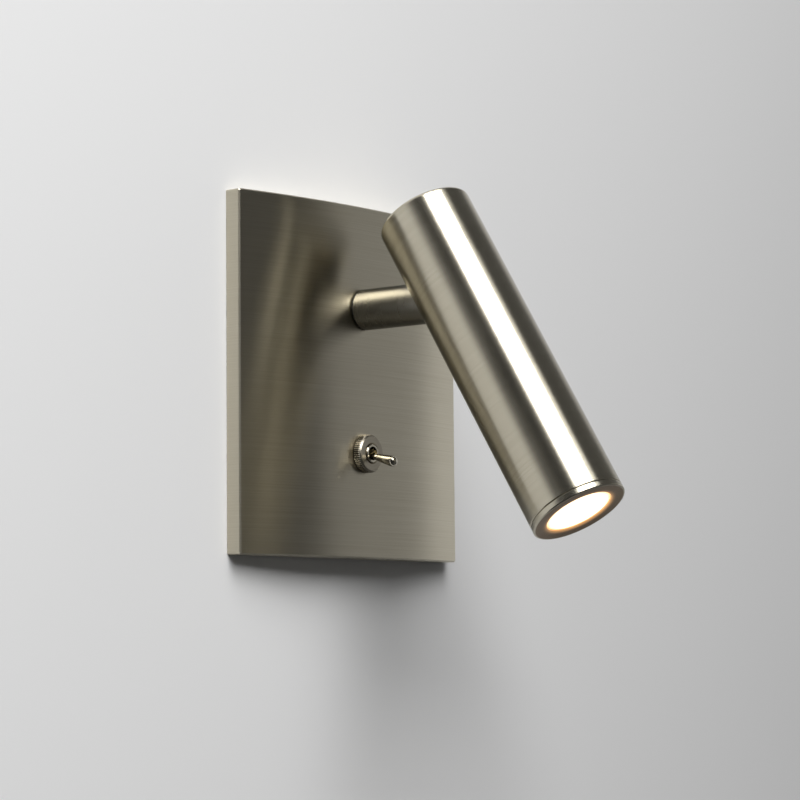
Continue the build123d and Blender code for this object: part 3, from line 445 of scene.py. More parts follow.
@dataclass(frozen=True)
class SmoothMetal(Finish):
    """Plated or machined metal whose tool marks are too fine to see.

    The eye gets clean reflections that break up a little where the surface has been handled.
    """

    roughness: float
    mottle: str
    mottle_size: float = 1.5 * MM
    groove: float = 0.0003 * MM

    def shade(self, tree: bpy.types.NodeTree, shader: bpy.types.Node) -> None:
        """Sets metal, gloss and a faint mottle.

        Args:
            tree: the node tree.
            shader: the Principled shader.
        """
        cloud = noise(tree, object_point(tree), 1.0 / self.mottle_size, 3.0)
        fine = noise(tree, object_point(tree), 6.0 / self.mottle_size, 2.0)
        shader.inputs["Metallic"].default_value = 1.0
        for name, socket in (
            ("Base Color", blend_colours(tree, spread(tree, cloud, 0.0, 1.0), linear(self.mottle), linear(self.colour))),
            ("Roughness", spread(tree, fine, self.roughness * 0.8, self.roughness * 1.2)),
            ("Normal", relief(tree, fine, self.groove)),
        ):
            tree.links.new(socket, shader.inputs[name])


@dataclass(frozen=True)
class Moulded(Finish):
    """Moulded plastic, rubber or ceramic with the fine texture of its mould.

    The eye gets a body colour, a soft sheen from the texture, and slightly duller patches.
    """

    roughness: float
    shade_colour: str
    texture_size: float = 0.35 * MM
    texture_depth: float = 0.01 * MM
    softness: float = 0.0

    def shade(self, tree: bpy.types.NodeTree, shader: bpy.types.Node) -> None:
        """Sets the body colour, sheen and texture.

        Args:
            tree: the node tree.
            shader: the Principled shader.
        """
        cloud = noise(tree, object_point(tree), 90.0, 3.0)
        texture = noise(tree, object_point(tree), 1.0 / self.texture_size, 2.0)
        shader.inputs["Sheen Weight"].default_value = self.softness
        for name, socket in (
            ("Base Color", blend_colours(tree, spread(tree, cloud, 0.0, 1.0), linear(self.shade_colour), linear(self.colour))),
            ("Roughness", spread(tree, cloud, self.roughness * 1.1, self.roughness * 0.9)),
            ("Normal", relief(tree, texture, self.texture_depth)),
        ):
            tree.links.new(socket, shader.inputs[name])


@dataclass(frozen=True)
class PrintedBoard(Finish):
    """Epoxy glass laminate under solder mask, with copper tracks that show through it."""

    track: str
    track_pitch: float = 2.54 * MM

    def shade(self, tree: bpy.types.NodeTree, shader: bpy.types.Node) -> None:
        """Draws the tracks as a slightly raised, lighter pattern.

        Args:
            tree: the node tree.
            shader: the Principled shader.
        """
        point = object_point(tree, (math.radians(90), 0, 0), cell=(self.track_pitch,) * 3)
        bricks = add_node(
            tree,
            "ShaderNodeTexBrick",
            {
                "Vector": point,
                "Color1": (0, 0, 0, 1),
                "Color2": (0, 0, 0, 1),
                "Mortar": (1, 1, 1, 1),
                "Scale": 1.0,
                "Mortar Size": 0.16,
                "Mortar Smooth": 0.1,
                "Brick Width": 3.0,
                "Row Height": 1.0,
            },
        )
        copper = bricks.outputs["Fac"]
        shader.inputs["Roughness"].default_value = 0.32
        for name, socket in (
            ("Base Color", blend_colours(tree, copper, linear(self.colour), linear(self.track))),
            ("Normal", relief(tree, copper, 0.035 * MM)),
        ):
            tree.links.new(socket, shader.inputs[name])


@dataclass(frozen=True)
class WoundTape(Finish):
    """Polyester tape wound round a coil, with an edge at every turn."""

    edge: str
    turn_height: float = 2.2 * MM

    def shade(self, tree: bpy.types.NodeTree, shader: bpy.types.Node) -> None:
        """Draws the turns of the tape as darker, slightly stepped lines.

        Args:
            tree: the node tree.
            shader: the Principled shader.
        """
        bands = add_node(
            tree,
            "ShaderNodeTexWave",
            {"Vector": object_point(tree), "Scale": 0.314 / self.turn_height, "Distortion": 0.4, "Detail": 1.0},
            wave_type="BANDS",
            bands_direction="Z",
            wave_profile="SAW",
        )
        step = bands.outputs["Fac"]
        shader.inputs["Roughness"].default_value = 0.28
        for name, socket in (
            ("Base Color", blend_colours(tree, spread(tree, step, 0.0, 1.0, 0.0, 0.25), linear(self.edge), linear(self.colour))),
            ("Normal", relief(tree, step, 0.05 * MM)),
        ):
            tree.links.new(socket, shader.inputs[name])


@dataclass(frozen=True)
class LitLens(Finish):
    """Moulded PMMA lens, lit from behind by a warm white light source.

    The eye gets an over-bright warm disc with an amber edge, where the moulded cells on the
    lens's back throw the light aside.
    """

    edge: str
    brightness: float
    lit_radius: float = 11.3 * MM
    cell_size: float = 1.9 * MM

    def shade(self, tree: bpy.types.NodeTree, shader: bpy.types.Node) -> None:
        """Lets the disc glow, less so towards its edge and between its cells.

        Args:
            tree: the node tree.
            shader: the Principled shader.
        """
        turn = tuple(Vector((0, 0, 1)).rotation_difference(HEAD_UP).to_euler())
        local = object_point(tree, turn, PIVOT)
        parts = add_node(tree, "ShaderNodeSeparateXYZ", {"Vector": local})
        flat = add_node(tree, "ShaderNodeCombineXYZ", {"X": parts.outputs["X"], "Y": parts.outputs["Y"]})
        radius = add_node(tree, "ShaderNodeVectorMath", {0: flat.outputs["Vector"]}, operation="LENGTH")
        share = add_node(tree, "ShaderNodeMath", {0: radius.outputs["Value"], 1: self.lit_radius}, operation="DIVIDE")
        cells = add_node(
            tree,
            "ShaderNodeTexVoronoi",
            {"Vector": flat.outputs["Vector"], "Scale": 1.0 / self.cell_size, "Randomness": 0.15},
            voronoi_dimensions="2D",
            feature="F1",
        )
        glow = spread(tree, share.outputs["Value"], self.brightness, self.brightness * 0.22, 0.62, 1.04)
        dimple = spread(tree, cells.outputs["Distance"], 1.0, 0.72, 0.1, 0.65)
        strength = add_node(tree, "ShaderNodeMath", {0: glow, 1: dimple}, operation="MULTIPLY")
        rim = spread(tree, share.outputs["Value"], 0.0, 1.0, 0.80, 1.02)
        shader.inputs["Roughness"].default_value = 0.12
        shader.inputs["IOR"].default_value = 1.49
        for name, socket in (
            ("Emission Color", blend_colours(tree, rim, linear(self.colour), linear(self.edge))),
            ("Emission Strength", strength.outputs["Value"]),
            ("Normal", relief(tree, cells.outputs["Distance"], 0.05 * MM)),
        ):
            tree.links.new(socket, shader.inputs[name])


@dataclass(frozen=True)
class LitPhosphor(Finish):
    """Phosphor in silicone over the light source, which glows warm white."""

    brightness: float

    def shade(self, tree: bpy.types.NodeTree, shader: bpy.types.Node) -> None:
        """Lets the face glow.

        Args:
            tree: the node tree.
            shader: the Principled shader.
        """
        grains = noise(tree, object_point(tree), 1.0 / (0.2 * MM), 2.0)
        shader.inputs["Roughness"].default_value = 0.35
        shader.inputs["Emission Color"].default_value = linear(self.colour)
        tree.links.new(spread(tree, grains, self.brightness * 0.9, self.brightness * 1.1), shader.inputs["Emission Strength"])
        tree.links.new(relief(tree, grains, 0.01 * MM), shader.inputs["Normal"])


NICKEL = "CDC7B6"
NICKEL_WORN = "C0B9A6"

FINISHES: tuple[Finish, ...] = (
    # Pressed and belt-brushed plate: the room's reflection is drawn out up and down.
    BrushedNickel("satin_nickel_belt_brushed", Slot.PLATE_NICKEL, NICKEL, NICKEL_WORN, 0.30, 0.85, None, 0.35 * MM, 60 * MM),
    # Tube brushed on a lathe: long bright and dark bands down its length, sharp side to side.
    BrushedNickel("satin_nickel_lathe_brushed", Slot.TUBE_NICKEL, NICKEL, NICKEL_WORN, 0.26, 0.76, (PIVOT, HEAD_UP)),
    # Bead-blasted before plating: a soft satin gradient from its lit top to its dark underside.
    BrushedNickel("satin_nickel_blasted", Slot.ARM_NICKEL, "A5A196", "A39F94", 0.28, 0.5, (ARM_PLACE, INTO_ROOM)),
    # Polished and plated small turned parts: near mirror, so bright lines beside black ones.
    SmoothMetal("nickel_polished", Slot.BRIGHT_NICKEL, "D6D0C0", 0.14, "CBC4B2", 1.2 * MM, 0.0002 * MM),
    # Zinc plated and passivated steel: cool grey with a cloudy spangle.
    SmoothMetal("zinc_plated_steel", Slot.ZINC_STEEL, "C4C8CC", 0.34, "AEB4BC", 2.5 * MM, 0.002 * MM),
    # Turned brass: warm yellow metal, slightly dulled.
    SmoothMetal("turned_brass", Slot.TURNED_BRASS, "D9B56A", 0.26, "C29A50", 1.0 * MM, 0.001 * MM),
    # Tin over copper: pale soft metal.
    SmoothMetal("tinned_copper", Slot.TINNED_COPPER, "D8D4CC", 0.30, "C4BDB0", 0.8 * MM, 0.001 * MM),
    # Machined aluminium, as cut: light and clean.
    SmoothMetal("machined_aluminium", Slot.BARE_ALUMINIUM, "DCDDDF", 0.30, "CBCDD0", 1.0 * MM, 0.001 * MM),
    # Vacuum metallised polycarbonate: a mirror with a warm cast from the light.
    SmoothMetal("metallised_polycarbonate", Slot.REFLECTOR_CHROME, "EDEAE4", 0.08, "E4E0D6", 1.5 * MM, 0.0005 * MM),
    # Glass-filled nylon: deep black with a dull, grainy sheen.
    Moulded("glass_filled_nylon", Slot.BLACK_NYLON, "1C1C1D", 0.55, "151515", 0.4 * MM, 0.012 * MM),
    # EPDM rubber: black, matt and soft.
    Moulded("epdm_rubber", Slot.BLACK_RUBBER, "1A1A1A", 0.75, "121212", 0.6 * MM, 0.01 * MM, 0.15),
    # Phenolic resin: dark red, hard and glossy.
    Moulded("phenolic_resin", Slot.SWITCH_PHENOLIC, "6E2A22", 0.3, "5A201B", 0.8 * MM, 0.004 * MM),
    # Polycarbonate case: slightly warm white, with a spark-eroded texture.
    Moulded("white_polycarbonate", Slot.WHITE_PLASTIC, "E6E5E0", 0.5, "DCDAD3", 0.45 * MM, 0.014 * MM),
    # White solder mask on an aluminium board.
    Moulded("white_solder_mask", Slot.BOARD_WHITE, "EDEDEA", 0.35, "E2E1DC", 0.5 * MM, 0.003 * MM),
    # PVC sleeve shrunk on a can: dark blue and shiny.
    Moulded("shrunk_pvc_sleeve", Slot.CAPACITOR_SLEEVE, "20263C", 0.28, "1A1F31", 1.2 * MM, 0.01 * MM),
    # Filled silicone: flat grey.
    Moulded("filled_silicone", Slot.PAD_GREY, "A2A2A2", 0.8, "949494", 0.3 * MM, 0.01 * MM),
    # Alumina ceramic: off-white with a fine sheen.
    Moulded("alumina_ceramic", Slot.CHIP_CERAMIC, "ECEBE4", 0.4, "E2E0D8", 0.2 * MM, 0.002 * MM),
    # PVC insulation, white and black: smooth with a dull shine.
    Moulded("white_pvc_insulation", Slot.LEAD_WHITE, "E4E3DD", 0.45, "D9D7CF", 1.5 * MM, 0.01 * MM),
    Moulded("black_pvc_insulation", Slot.LEAD_BLACK, "1E1E1F", 0.45, "161617", 1.5 * MM, 0.01 * MM),
    PrintedBoard("green_solder_mask", Slot.CIRCUIT_GREEN, "1D5A3A", "3F8A5C"),
    WoundTape("polyester_tape", Slot.WINDING_YELLOW, "D9BE4A", "A88C28"),
    LitPhosphor("phosphor_silicone", Slot.PHOSPHOR_YELLOW, "FFE2A8", 6.0),
    LitLens("lit_moulded_pmma", Slot.LENS_GLASS, "FFF1D6", "FFC283", 5.0),
)

# Nickel on the bezel, with the lens's light painted on its lip as a brown cast and an amber glow.
LENS_LIGHT_PAINTED_NICKEL = LensLightPaintedNickel(
    "satin_nickel_painted_lens_light", Slot.TUBE_NICKEL, NICKEL, NICKEL_WORN, 0.26, 0.74, (PIVOT, HEAD_UP)
)
# Nut faced and chamfered on a lathe: a soft grey face with fine rings, a bright arc at its chamfer, and painted shade
# in the knurl's gaps.
NUT_NICKEL = KnurledNickel(
    "satin_nickel_faced", Slot.BRIGHT_NICKEL, "BDB6A6", "ACA493", 0.36, 0.3, (SWITCH_PLACE, INTO_ROOM), 0.2 * MM, 8 * MM
)


class FinishRack:
    """Holds one material for each slot of the record, and dresses the CAD nodes with them."""

    def __init__(self, finishes: tuple[Finish, ...]) -> None:
        """Builds every material once.

        Args:
            finishes: the finishes.
        """
        self.materials = {finish.slot.value: finish.build() for finish in finishes}

    def dress_nodes(self, nodes: dict[str, bpy.types.Object]) -> None:
        """Puts the material of its slot on each CAD node.

        Args:
            nodes: the CAD nodes by name.
        """
        for name, node in sorted(nodes.items()):
            for holder in node.material_slots:
                slot = holder.material.name.split(".")[0]
                holder.material = self.materials[slot]
                LOG.info("node %s dressed in %s", name, holder.material.name)


# ---------------------------------------------------------------- mesh helpers


@dataclass(frozen=True)
class Spindle:
    """The place and direction of the axis that a piece is turned on."""

    place: Vector
    axis: Vector

    def matrix(self) -> Matrix:
        """Gives the matrix that puts local Z on the axis."""
        turn = Vector((0, 0, 1)).rotation_difference(self.axis).to_matrix().to_4x4()
        return Matrix.Translation(self.place) @ turn


@dataclass(frozen=True)
class Profile:
    """Points of a turned piece's outline, each a radius and a height in millimetres."""

    points: tuple[tuple[float, float], ...]
    closed: bool = True

    def turned(self, steps: int) -> bmesh.types.BMesh:
        """Spins the outline a full turn about Z.

        Args:
            steps: how many faces go round.

        Returns:
            The new bmesh.
        """
        bm = bmesh.new()
        verts = [bm.verts.new((radius * MM, 0.0, height * MM)) for radius, height in self.points]
        pairs = list(zip(verts, verts[1:]))
        if self.closed:
            pairs.append((verts[-1], verts[0]))
        edges = [bm.edges.new(pair) for pair in pairs]
        bmesh.ops.spin(
            bm, geom=verts + edges, axis=(0, 0, 1), cent=(0, 0, 0), angle=math.tau, steps=steps, use_merge=True
        )
        bmesh.ops.remove_doubles(bm, verts=bm.verts, dist=1e-7)
        bmesh.ops.recalc_face_normals(bm, faces=bm.faces)
        return bm


def soften_edges(bm: bmesh.types.BMesh, width: float, sharpness: float = 35.0, segments: int = 3) -> None:
    """Bevels the edges that are sharper than an angle.

    Args:
        bm: the bmesh.
        width: width of the bevel in metres.
        sharpness: the least angle between two faces, in degrees.
        segments: how many faces each bevel has.
    """
    limit = math.radians(sharpness)
    edges = [edge for edge in bm.edges if len(edge.link_faces) == 2 and edge.calc_face_angle() > limit]
    bmesh.ops.bevel(
        bm,
        geom=edges,
        offset=width,
        offset_type="OFFSET",
        segments=segments,
        profile=0.5,
        affect="EDGES",
        clamp_overlap=True,
        material=-1,
    )


class Workshop:
    """Turns a finished bmesh into a piece of the model."""

    @staticmethod
    def finish(
        bm: bmesh.types.BMesh,
        name: str,
        spindle: Spindle | None,
        rack: FinishRack,
        slot: Slot,
        body: Body,
        *replaced: str,
        crease: float = 35.0,
        material: bpy.types.Material | None = None,
    ) -> bpy.types.Object:
        """Places the mesh, shades it smooth and adds it to its body.

        Args:
            bm: the bmesh, which is freed.
            name: the piece's name.
            spindle: where local Z goes, or None for a mesh that is already in place.
            rack: the materials by slot.
            slot: the record's material slot.
            body: the CAD body that it moves with.
            *replaced: the CAD nodes that it stands for.
            crease: the angle past which an edge stays sharp, in degrees.
            material: a finish of the piece's own, in place of its slot's.

        Returns:
            The new object.
        """
        if spindle:
            bmesh.ops.transform(bm, matrix=spindle.matrix(), verts=bm.verts)
        mesh = bpy.data.meshes.new(name)
        bm.to_mesh(mesh)
        bm.free()
        mesh.shade_smooth()
        mesh.set_sharp_from_angle(angle=math.radians(crease))
        piece = bpy.data.objects.new(name, mesh)
        bpy.context.scene.collection.objects.link(piece)
        mesh.materials.append(material or rack.materials[slot.value])
        weighted = piece.modifiers.new("even_shading", "WEIGHTED_NORMAL")
        weighted.keep_sharp = True
        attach(piece, body.value)
        if replaced:
            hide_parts(*replaced)
        LOG.info("piece %s: %d faces, rides on %s", name, len(mesh.polygons), body.value)
        return piece


# ---------------------------------------------------------------- sub-assemblies


@dataclass
class SwitchTrim:
    """The round knurled nut, the threaded bushing and the bat lever of the switch."""

    rack: FinishRack
    rear_y: float = -11.3
    radius: float = 6.5
    thickness: float = 3.0
    front_chamfer: float = 0.75
    rear_chamfer: float = 0.25
    countersink: float = 0.45
    bore: float = 3.12
    knurls: int = 54
    knurl_depth: float = 0.3
    steps_per_knurl: int = 8
    bushing_start: float = 6.7
    bushing_length: float = 8.05
    bushing_radius: float = 3.1
    bushing_bore: float = 1.8
    mouth_radius: float = 2.35
    mouth_depth: float = 2.65
    edge_break: float = 0.22
    thread_pitch: float = 0.75
    thread_depth: float = 0.22
    lever_tail: float = 3.4
    lever_tail_radius: float = 0.6
    lever_ball_radius: float = 1.7
    lever_neck_radius: float = 0.95
    lever_neck: float = 3.4
    lever_tip_radius: float = 1.8
    lever_length: float = 13.9

    def knurl_radius(self, angle: float) -> float:
        """Gives the radius of the knurled edge at an angle, in metres.

        Args:
            angle: the angle round the nut, in radians.

        Returns:
            The radius, from the root of the knurl to its crest.
        """
        phase = (angle * self.knurls / math.tau) % 1.0
        slope = max(0.0, min(1.0, (abs(phase - 0.5) - 0.12) / 0.2))
        return (self.radius - self.knurl_depth * (1.0 - slope)) * MM

    def build(self) -> None:
        """Makes the nut, the bushing and the lever."""
        self.add_nut()
        self.add_bushing()
        self.add_lever()

    def add_nut(self) -> None:
        """Turns the nut, cuts its knurl and dresses it."""
        root = self.radius - self.knurl_depth
        outline = Profile(
            (
                (self.bore, 0.0),
                (self.radius - self.rear_chamfer, 0.0),
                (self.radius, self.rear_chamfer),
                (self.radius, self.thickness - self.front_chamfer),
                (root, self.thickness - self.front_chamfer + self.knurl_depth),
                (self.radius - self.front_chamfer, self.thickness),
                (self.bore + self.countersink, self.thickness),
                (self.bore, self.thickness - self.countersink),
            )
        )
        bm = outline.turned(self.knurls * self.steps_per_knurl)
        for vert in bm.verts:
            flat = Vector((vert.co.x, vert.co.y))
            if flat.length > root * MM:
                limit = self.knurl_radius(math.atan2(flat.y, flat.x))
                flat *= min(flat.length, limit) / flat.length
                vert.co.x, vert.co.y = flat
        place = SWITCH_PLACE + Vector((0, self.rear_y * MM, 0))
        Workshop.finish(
            bm,
            "knurled_nut_detail",
            Spindle(place, INTO_ROOM),
            self.rack,
            Slot.BRIGHT_NICKEL,
            Body.ROOT,
            "knurled_nut",
            crease=24.0,
            material=NUT_NICKEL.build(),
        )

    def add_bushing(self) -> None:
        """Turns the bushing with the crests and roots of its thread."""
        edge = self.bushing_length - self.edge_break
        crests = [(self.bushing_radius, 0.0)]
        height = self.thread_pitch / 2
        while height + self.thread_pitch < edge:
            crests.append((self.bushing_radius - self.thread_depth, height))
            crests.append((self.bushing_radius, height + self.thread_pitch / 2))
            height += self.thread_pitch
        outline = Profile(
            (
                (self.bushing_bore, 0.0),
                *crests,
                (self.bushing_radius, edge),
                (self.bushing_radius - self.edge_break, self.bushing_length),
                (self.mouth_radius, self.bushing_length),
                (self.bushing_bore, self.bushing_length - self.mouth_depth),
            )
        )
        place = SWITCH_PLACE - Vector((0, self.bushing_start * MM, 0))
        Workshop.finish(
            outline.turned(64),
            "toggle_bushing_detail",
            Spindle(place, INTO_ROOM),
            self.rack,
            Slot.BRIGHT_NICKEL,
            Body.ROOT,
            "toggle_bushing",
        )

    def add_lever(self) -> None:
        """Turns the lever, which swells from its neck to a rounded tip."""
        arc_steps = 12
        start = math.asin(self.lever_tail_radius / self.lever_ball_radius) - math.pi / 2
        end = math.pi / 2 - math.asin(self.lever_neck_radius / self.lever_ball_radius)
        turns = [start + (end - start) * step / arc_steps for step in range(arc_steps + 1)]
        ball = [(self.lever_ball_radius * math.cos(turn), self.lever_ball_radius * math.sin(turn)) for turn in turns]
        tip = self.lever_length - self.lever_tip_radius
        swell = []
        for step in range(9):
            share = step / 8
            eased = share * share * (3 - 2 * share)
            radius = self.lever_neck_radius + (self.lever_tip_radius - self.lever_neck_radius) * (0.5 * share + 0.5 * eased)
            swell.append((radius, self.lever_neck + (tip - self.lever_neck) * share))
        turns = [math.pi / 2 * step / arc_steps for step in range(1, arc_steps)]
        dome = [(self.lever_tip_radius * math.cos(turn), tip + self.lever_tip_radius * math.sin(turn)) for turn in turns]
        outline = Profile(
            (
                (0.0, -self.lever_tail),
                (self.lever_tail_radius, -self.lever_tail),
                *ball,
                *swell,
                *dome,
                (0.0, self.lever_length),
            ),
            closed=False,
        )
        Workshop.finish(
            outline.turned(48),
            "toggle_lever_detail",
            Spindle(LEVER_PIVOT, LEVER_AXIS),
            self.rack,
            Slot.BRIGHT_NICKEL,
            Body.LEVER,
            "toggle_lever",
        )


@dataclass
class LightEnd:
    """The bezel and the lens at the head's lower end. Heights run from the pivot to the light."""

    rack: FinishRack
    head_radius: float = 16.2
    end: float = 84.8
    back: float = 82.8
    neck_start: float = 76.8
    neck_outside: float = 14.5
    neck_inside: float = 13.2
    aperture: float = 11.3
    lip_back: float = 83.6
    rim_bevel: float = 0.35
    lip_slope_start: float = 15.2
    lip_slope_depth: float = 0.12
    lip_chamfer: float = 0.25
    lens_radius: float = 13.1
    lens_back: float = 81.2
    lens_flange: float = 83.0
    lens_front: float = 84.1
    dome_radius: float = 11.05
    dome_height: float = 0.5
    cell_pitch: float = 2.3
    cell_height: float = 0.09
    rings: int = 40
    steps: int = 128

    def build(self) -> None:
        """Makes the bezel and the lens."""
        spindle = Spindle(PIVOT, -HEAD_UP)
        self.add_bezel(spindle)
        self.add_lens(spindle)

    def add_bezel(self, spindle: Spindle) -> None:
        """Turns the bezel, whose lip slopes in towards the lens and so catches its light.

        Args:
            spindle: the head's axis.
        """
        outline = Profile(
            (
                (self.neck_inside, self.neck_start),
                (self.neck_outside, self.neck_start),
                (self.neck_outside, self.back),
                (self.head_radius, self.back),
                (self.head_radius, self.end - self.rim_bevel),
                (self.head_radius - 0.3 * self.rim_bevel, self.end - 0.3 * self.rim_bevel),
                (self.head_radius - self.rim_bevel, self.end),
                (self.lip_slope_start, self.end),
                (self.aperture + self.lip_chamfer, self.end - self.lip_slope_depth),
                (self.aperture, self.end - self.lip_slope_depth - self.lip_chamfer),
                (self.aperture, self.lip_back),
                (self.neck_inside, self.lip_back),
            )
        )
        bm = outline.turned(self.steps)
        soften_edges(bm, 0.16 * MM, 40.0)
        Workshop.finish(
            bm,
            "bezel_ring_detail",
            spindle,
            self.rack,
            Slot.TUBE_NICKEL,
            Body.HEAD,
            "bezel_ring",
            material=LENS_LIGHT_PAINTED_NICKEL.build(),
        )

    def lens_height(self, x: float, y: float) -> float:
        """Gives how far the lens's front stands out at a point, in millimetres.

        Args:
            x: millimetres from the axis.
            y: millimetres from the axis, square to x.

        Returns:
            The height of the dome and of the moulded cells on it.
        """
        share = min(1.0, math.hypot(x, y) / self.dome_radius)
        wave = math.tau / (self.cell_pitch * math.sqrt(0.75))
        cells = sum(
            math.cos(wave * (x * math.cos(turn) + y * math.sin(turn)))
            for turn in (0.0, math.tau / 6, math.tau / 3)
        )
        fade = max(0.0, 1.0 - share**6)
        return self.dome_height * (1.0 - share**2) + self.cell_height * fade * (cells / 4.5 + 1 / 3)

    def add_lens(self, spindle: Spindle) -> None:
        """Turns the lens and raises its dome and cells.

        Args:
            spindle: the head's axis.
        """
        front = [(self.dome_radius * ring / self.rings, self.lens_front) for ring in range(self.rings, -1, -1)]
        outline = Profile(
            (
                (0.0, self.lens_back),
                (self.lens_radius, self.lens_back),
                (self.lens_radius, self.lens_flange),
                (self.dome_radius, self.lens_flange),
                *front,
            ),
            closed=False,
        )
        bm = outline.turned(self.steps)
        for vert in bm.verts:
            if abs(vert.co.z - self.lens_front * MM) < 1e-6:
                vert.co.z += self.lens_height(vert.co.x / MM, vert.co.y / MM) * MM
        Workshop.finish(bm, "lens_detail", spindle, self.rack, Slot.LENS_GLASS, Body.HEAD, "lens")


@dataclass
class DriverLid:
    """The moulded lid on the back of the driver's case."""

    rack: FinishRack
    half_width: float = 23.3
    low: float = -0.3
    high: float = 31.3
    front: float = 22.5
    back: float = 24.0
    corner: float = 1.75
    frame_width: float = 2.4
    step_width: float = 0.35
    panel_depth: float = 0.45
    ribs: int = 6

    def build(self) -> None:
        """Makes the lid with its sunken panel and ribs."""
        bm = bmesh.new()
        bmesh.ops.create_cube(bm, size=1.0)
        size = Vector((2 * self.half_width, self.back - self.front, self.high - self.low)) * MM
        middle = Vector((0, (self.back + self.front) / 2, (self.high + self.low) / 2)) * MM
        bmesh.ops.scale(bm, vec=size, verts=bm.verts)
        bmesh.ops.translate(bm, vec=middle, verts=bm.verts)
        uprights = [edge for edge in bm.edges if abs((edge.verts[0].co - edge.verts[1].co).y) > 0.5 * size.y]
        bmesh.ops.bevel(
            bm,
            geom=uprights,
            offset=self.corner * MM,
            offset_type="OFFSET",
            segments=6,
            profile=0.5,
            affect="EDGES",
            material=-1,
        )
        rear = max(bm.faces, key=lambda face: face.calc_center_median().y)
        bmesh.ops.inset_region(bm, faces=[rear], thickness=self.frame_width * MM, use_even_offset=True)
        bmesh.ops.inset_region(
            bm, faces=[rear], thickness=self.step_width * MM, depth=-self.panel_depth * MM, use_even_offset=True
        )
        self.cut_ribs(bm)
        soften_edges(bm, 0.12 * MM, 30.0, 2)
        Workshop.finish(bm, "driver_lid_detail", None, self.rack, Slot.WHITE_PLASTIC, Body.ROOT, "driver_lid")

    def cut_ribs(self, bm: bmesh.types.BMesh) -> None:
        """Cuts the sunken panel across and raises every other strip as a low rib.

        Args:
            bm: the lid.
        """
        panel_half = self.half_width - self.frame_width - self.step_width
        pitch = 2 * panel_half / (2 * self.ribs + 1)
        depth = (self.back - self.panel_depth) * MM
        for index in range(1, 2 * self.ribs + 1):
            panel = [face for face in bm.faces if abs(face.calc_center_median().y - depth) < 1e-6]
            geometry = set(panel)
            for face in panel:
                geometry.update(face.edges)
                geometry.update(face.verts)
            cut = (index * pitch - panel_half) * MM
            bmesh.ops.bisect_plane(bm, geom=list(geometry), plane_co=(cut, 0, 0), plane_no=(1, 0, 0))
        strips = [face for face in bm.faces if abs(face.calc_center_median().y - depth) < 1e-6]
        strips.sort(key=lambda face: face.calc_center_median().x)
        for strip in strips[1::2]:
            bmesh.ops.inset_region(bm, faces=[strip], thickness=0.55 * MM, use_even_offset=True)
            bmesh.ops.inset_region(bm, faces=[strip], thickness=0.08 * MM, depth=0.3 * MM, use_even_offset=True)


@dataclass(frozen=True)
class LeadRun:
    """Insulated leads that follow smooth routes, in millimetres."""

    name: str
    node: str
    body: Body
    slot: Slot
    radius: float
    routes: tuple[tuple[tuple[float, float, float], ...], ...]

    def build(self, rack: FinishRack) -> None:
        """Makes a tube along each route's curve and dresses it.

        Args:
            rack: the materials by slot.
        """
        curve = bpy.data.curves.new(self.name + "_route", "CURVE")
        curve.dimensions = "3D"
        curve.bevel_depth = self.radius * MM
        curve.bevel_resolution = 4
        curve.use_fill_caps = True
        for route in self.routes:
            spline = curve.splines.new("NURBS")
            spline.points.add(len(route) - 1)
            for point, place in zip(spline.points, route):
                point.co = (*(Vector(place) * MM), 1.0)
            spline.order_u = 3
            spline.use_endpoint_u = True
            spline.resolution_u = 8
        holder = bpy.data.objects.new(self.name + "_route", curve)
        bpy.context.scene.collection.objects.link(holder)
        bpy.context.view_layer.update()
        tube = bpy.data.meshes.new_from_object(holder.evaluated_get(bpy.context.evaluated_depsgraph_get()))
        bm = bmesh.new()
        bm.from_mesh(tube)
        bmesh.ops.remove_doubles(bm, verts=bm.verts, dist=1e-7)
        bmesh.ops.recalc_face_normals(bm, faces=bm.faces)
        bpy.data.objects.remove(holder)
        bpy.data.curves.remove(curve)
        bpy.data.meshes.remove(tube)
        Workshop.finish(bm, self.name, None, rack, self.slot, self.body, self.node)


LEADS = (
    LeadRun(
        "supply_leads_detail",
        "supply_leads",
        Body.ROOT,
        Slot.LEAD_WHITE,
        0.6,
        tuple(((x, 11.0, -15.5), (x, 11.0, -10.0), (x, 11.0, -3.0), (x, 11.0, 2.0)) for x in (12.0, 20.0)),
    ),
    LeadRun(
        "switch_leads_detail",
        "switch_leads",
        Body.ROOT,
        Slot.LEAD_BLACK,
        0.6,
        (
            ((0, 6.3, -20.0), (0, 9.0, -20.0), (0, 12.0, -20.0), (0, 12.0, -17.0), (0, 12.0, -8.0), (0, 12.0, 2.0)),
            ((0, 6.3, -24.7), (0, 10.0, -24.7), (0, 14.0, -24.7), (0, 14.0, -20.5), (0, 14.0, -9.0), (0, 14.0, 2.0)),
        ),
    ),
    LeadRun(
        "arm_lead_detail",
        "arm_lead",
        Body.ARM,
        Slot.LEAD_WHITE,
        1.2,
        (((0, 5.95, 24.5), (0, -10.0, 24.5), (0, -30.0, 24.5), (0, -56.6, 24.5)),),
    ),
    LeadRun(
        "head_lead_detail",
        "head_lead",
        Body.HEAD,
        Slot.LEAD_WHITE,
        1.2,
        (tuple(tuple(PIVOT / MM - HEAD_UP * reach) for reach in (1.3, 20.0, 40.0, 56.3)),),
    ),
)


# ---------------------------------------------------------------- studio


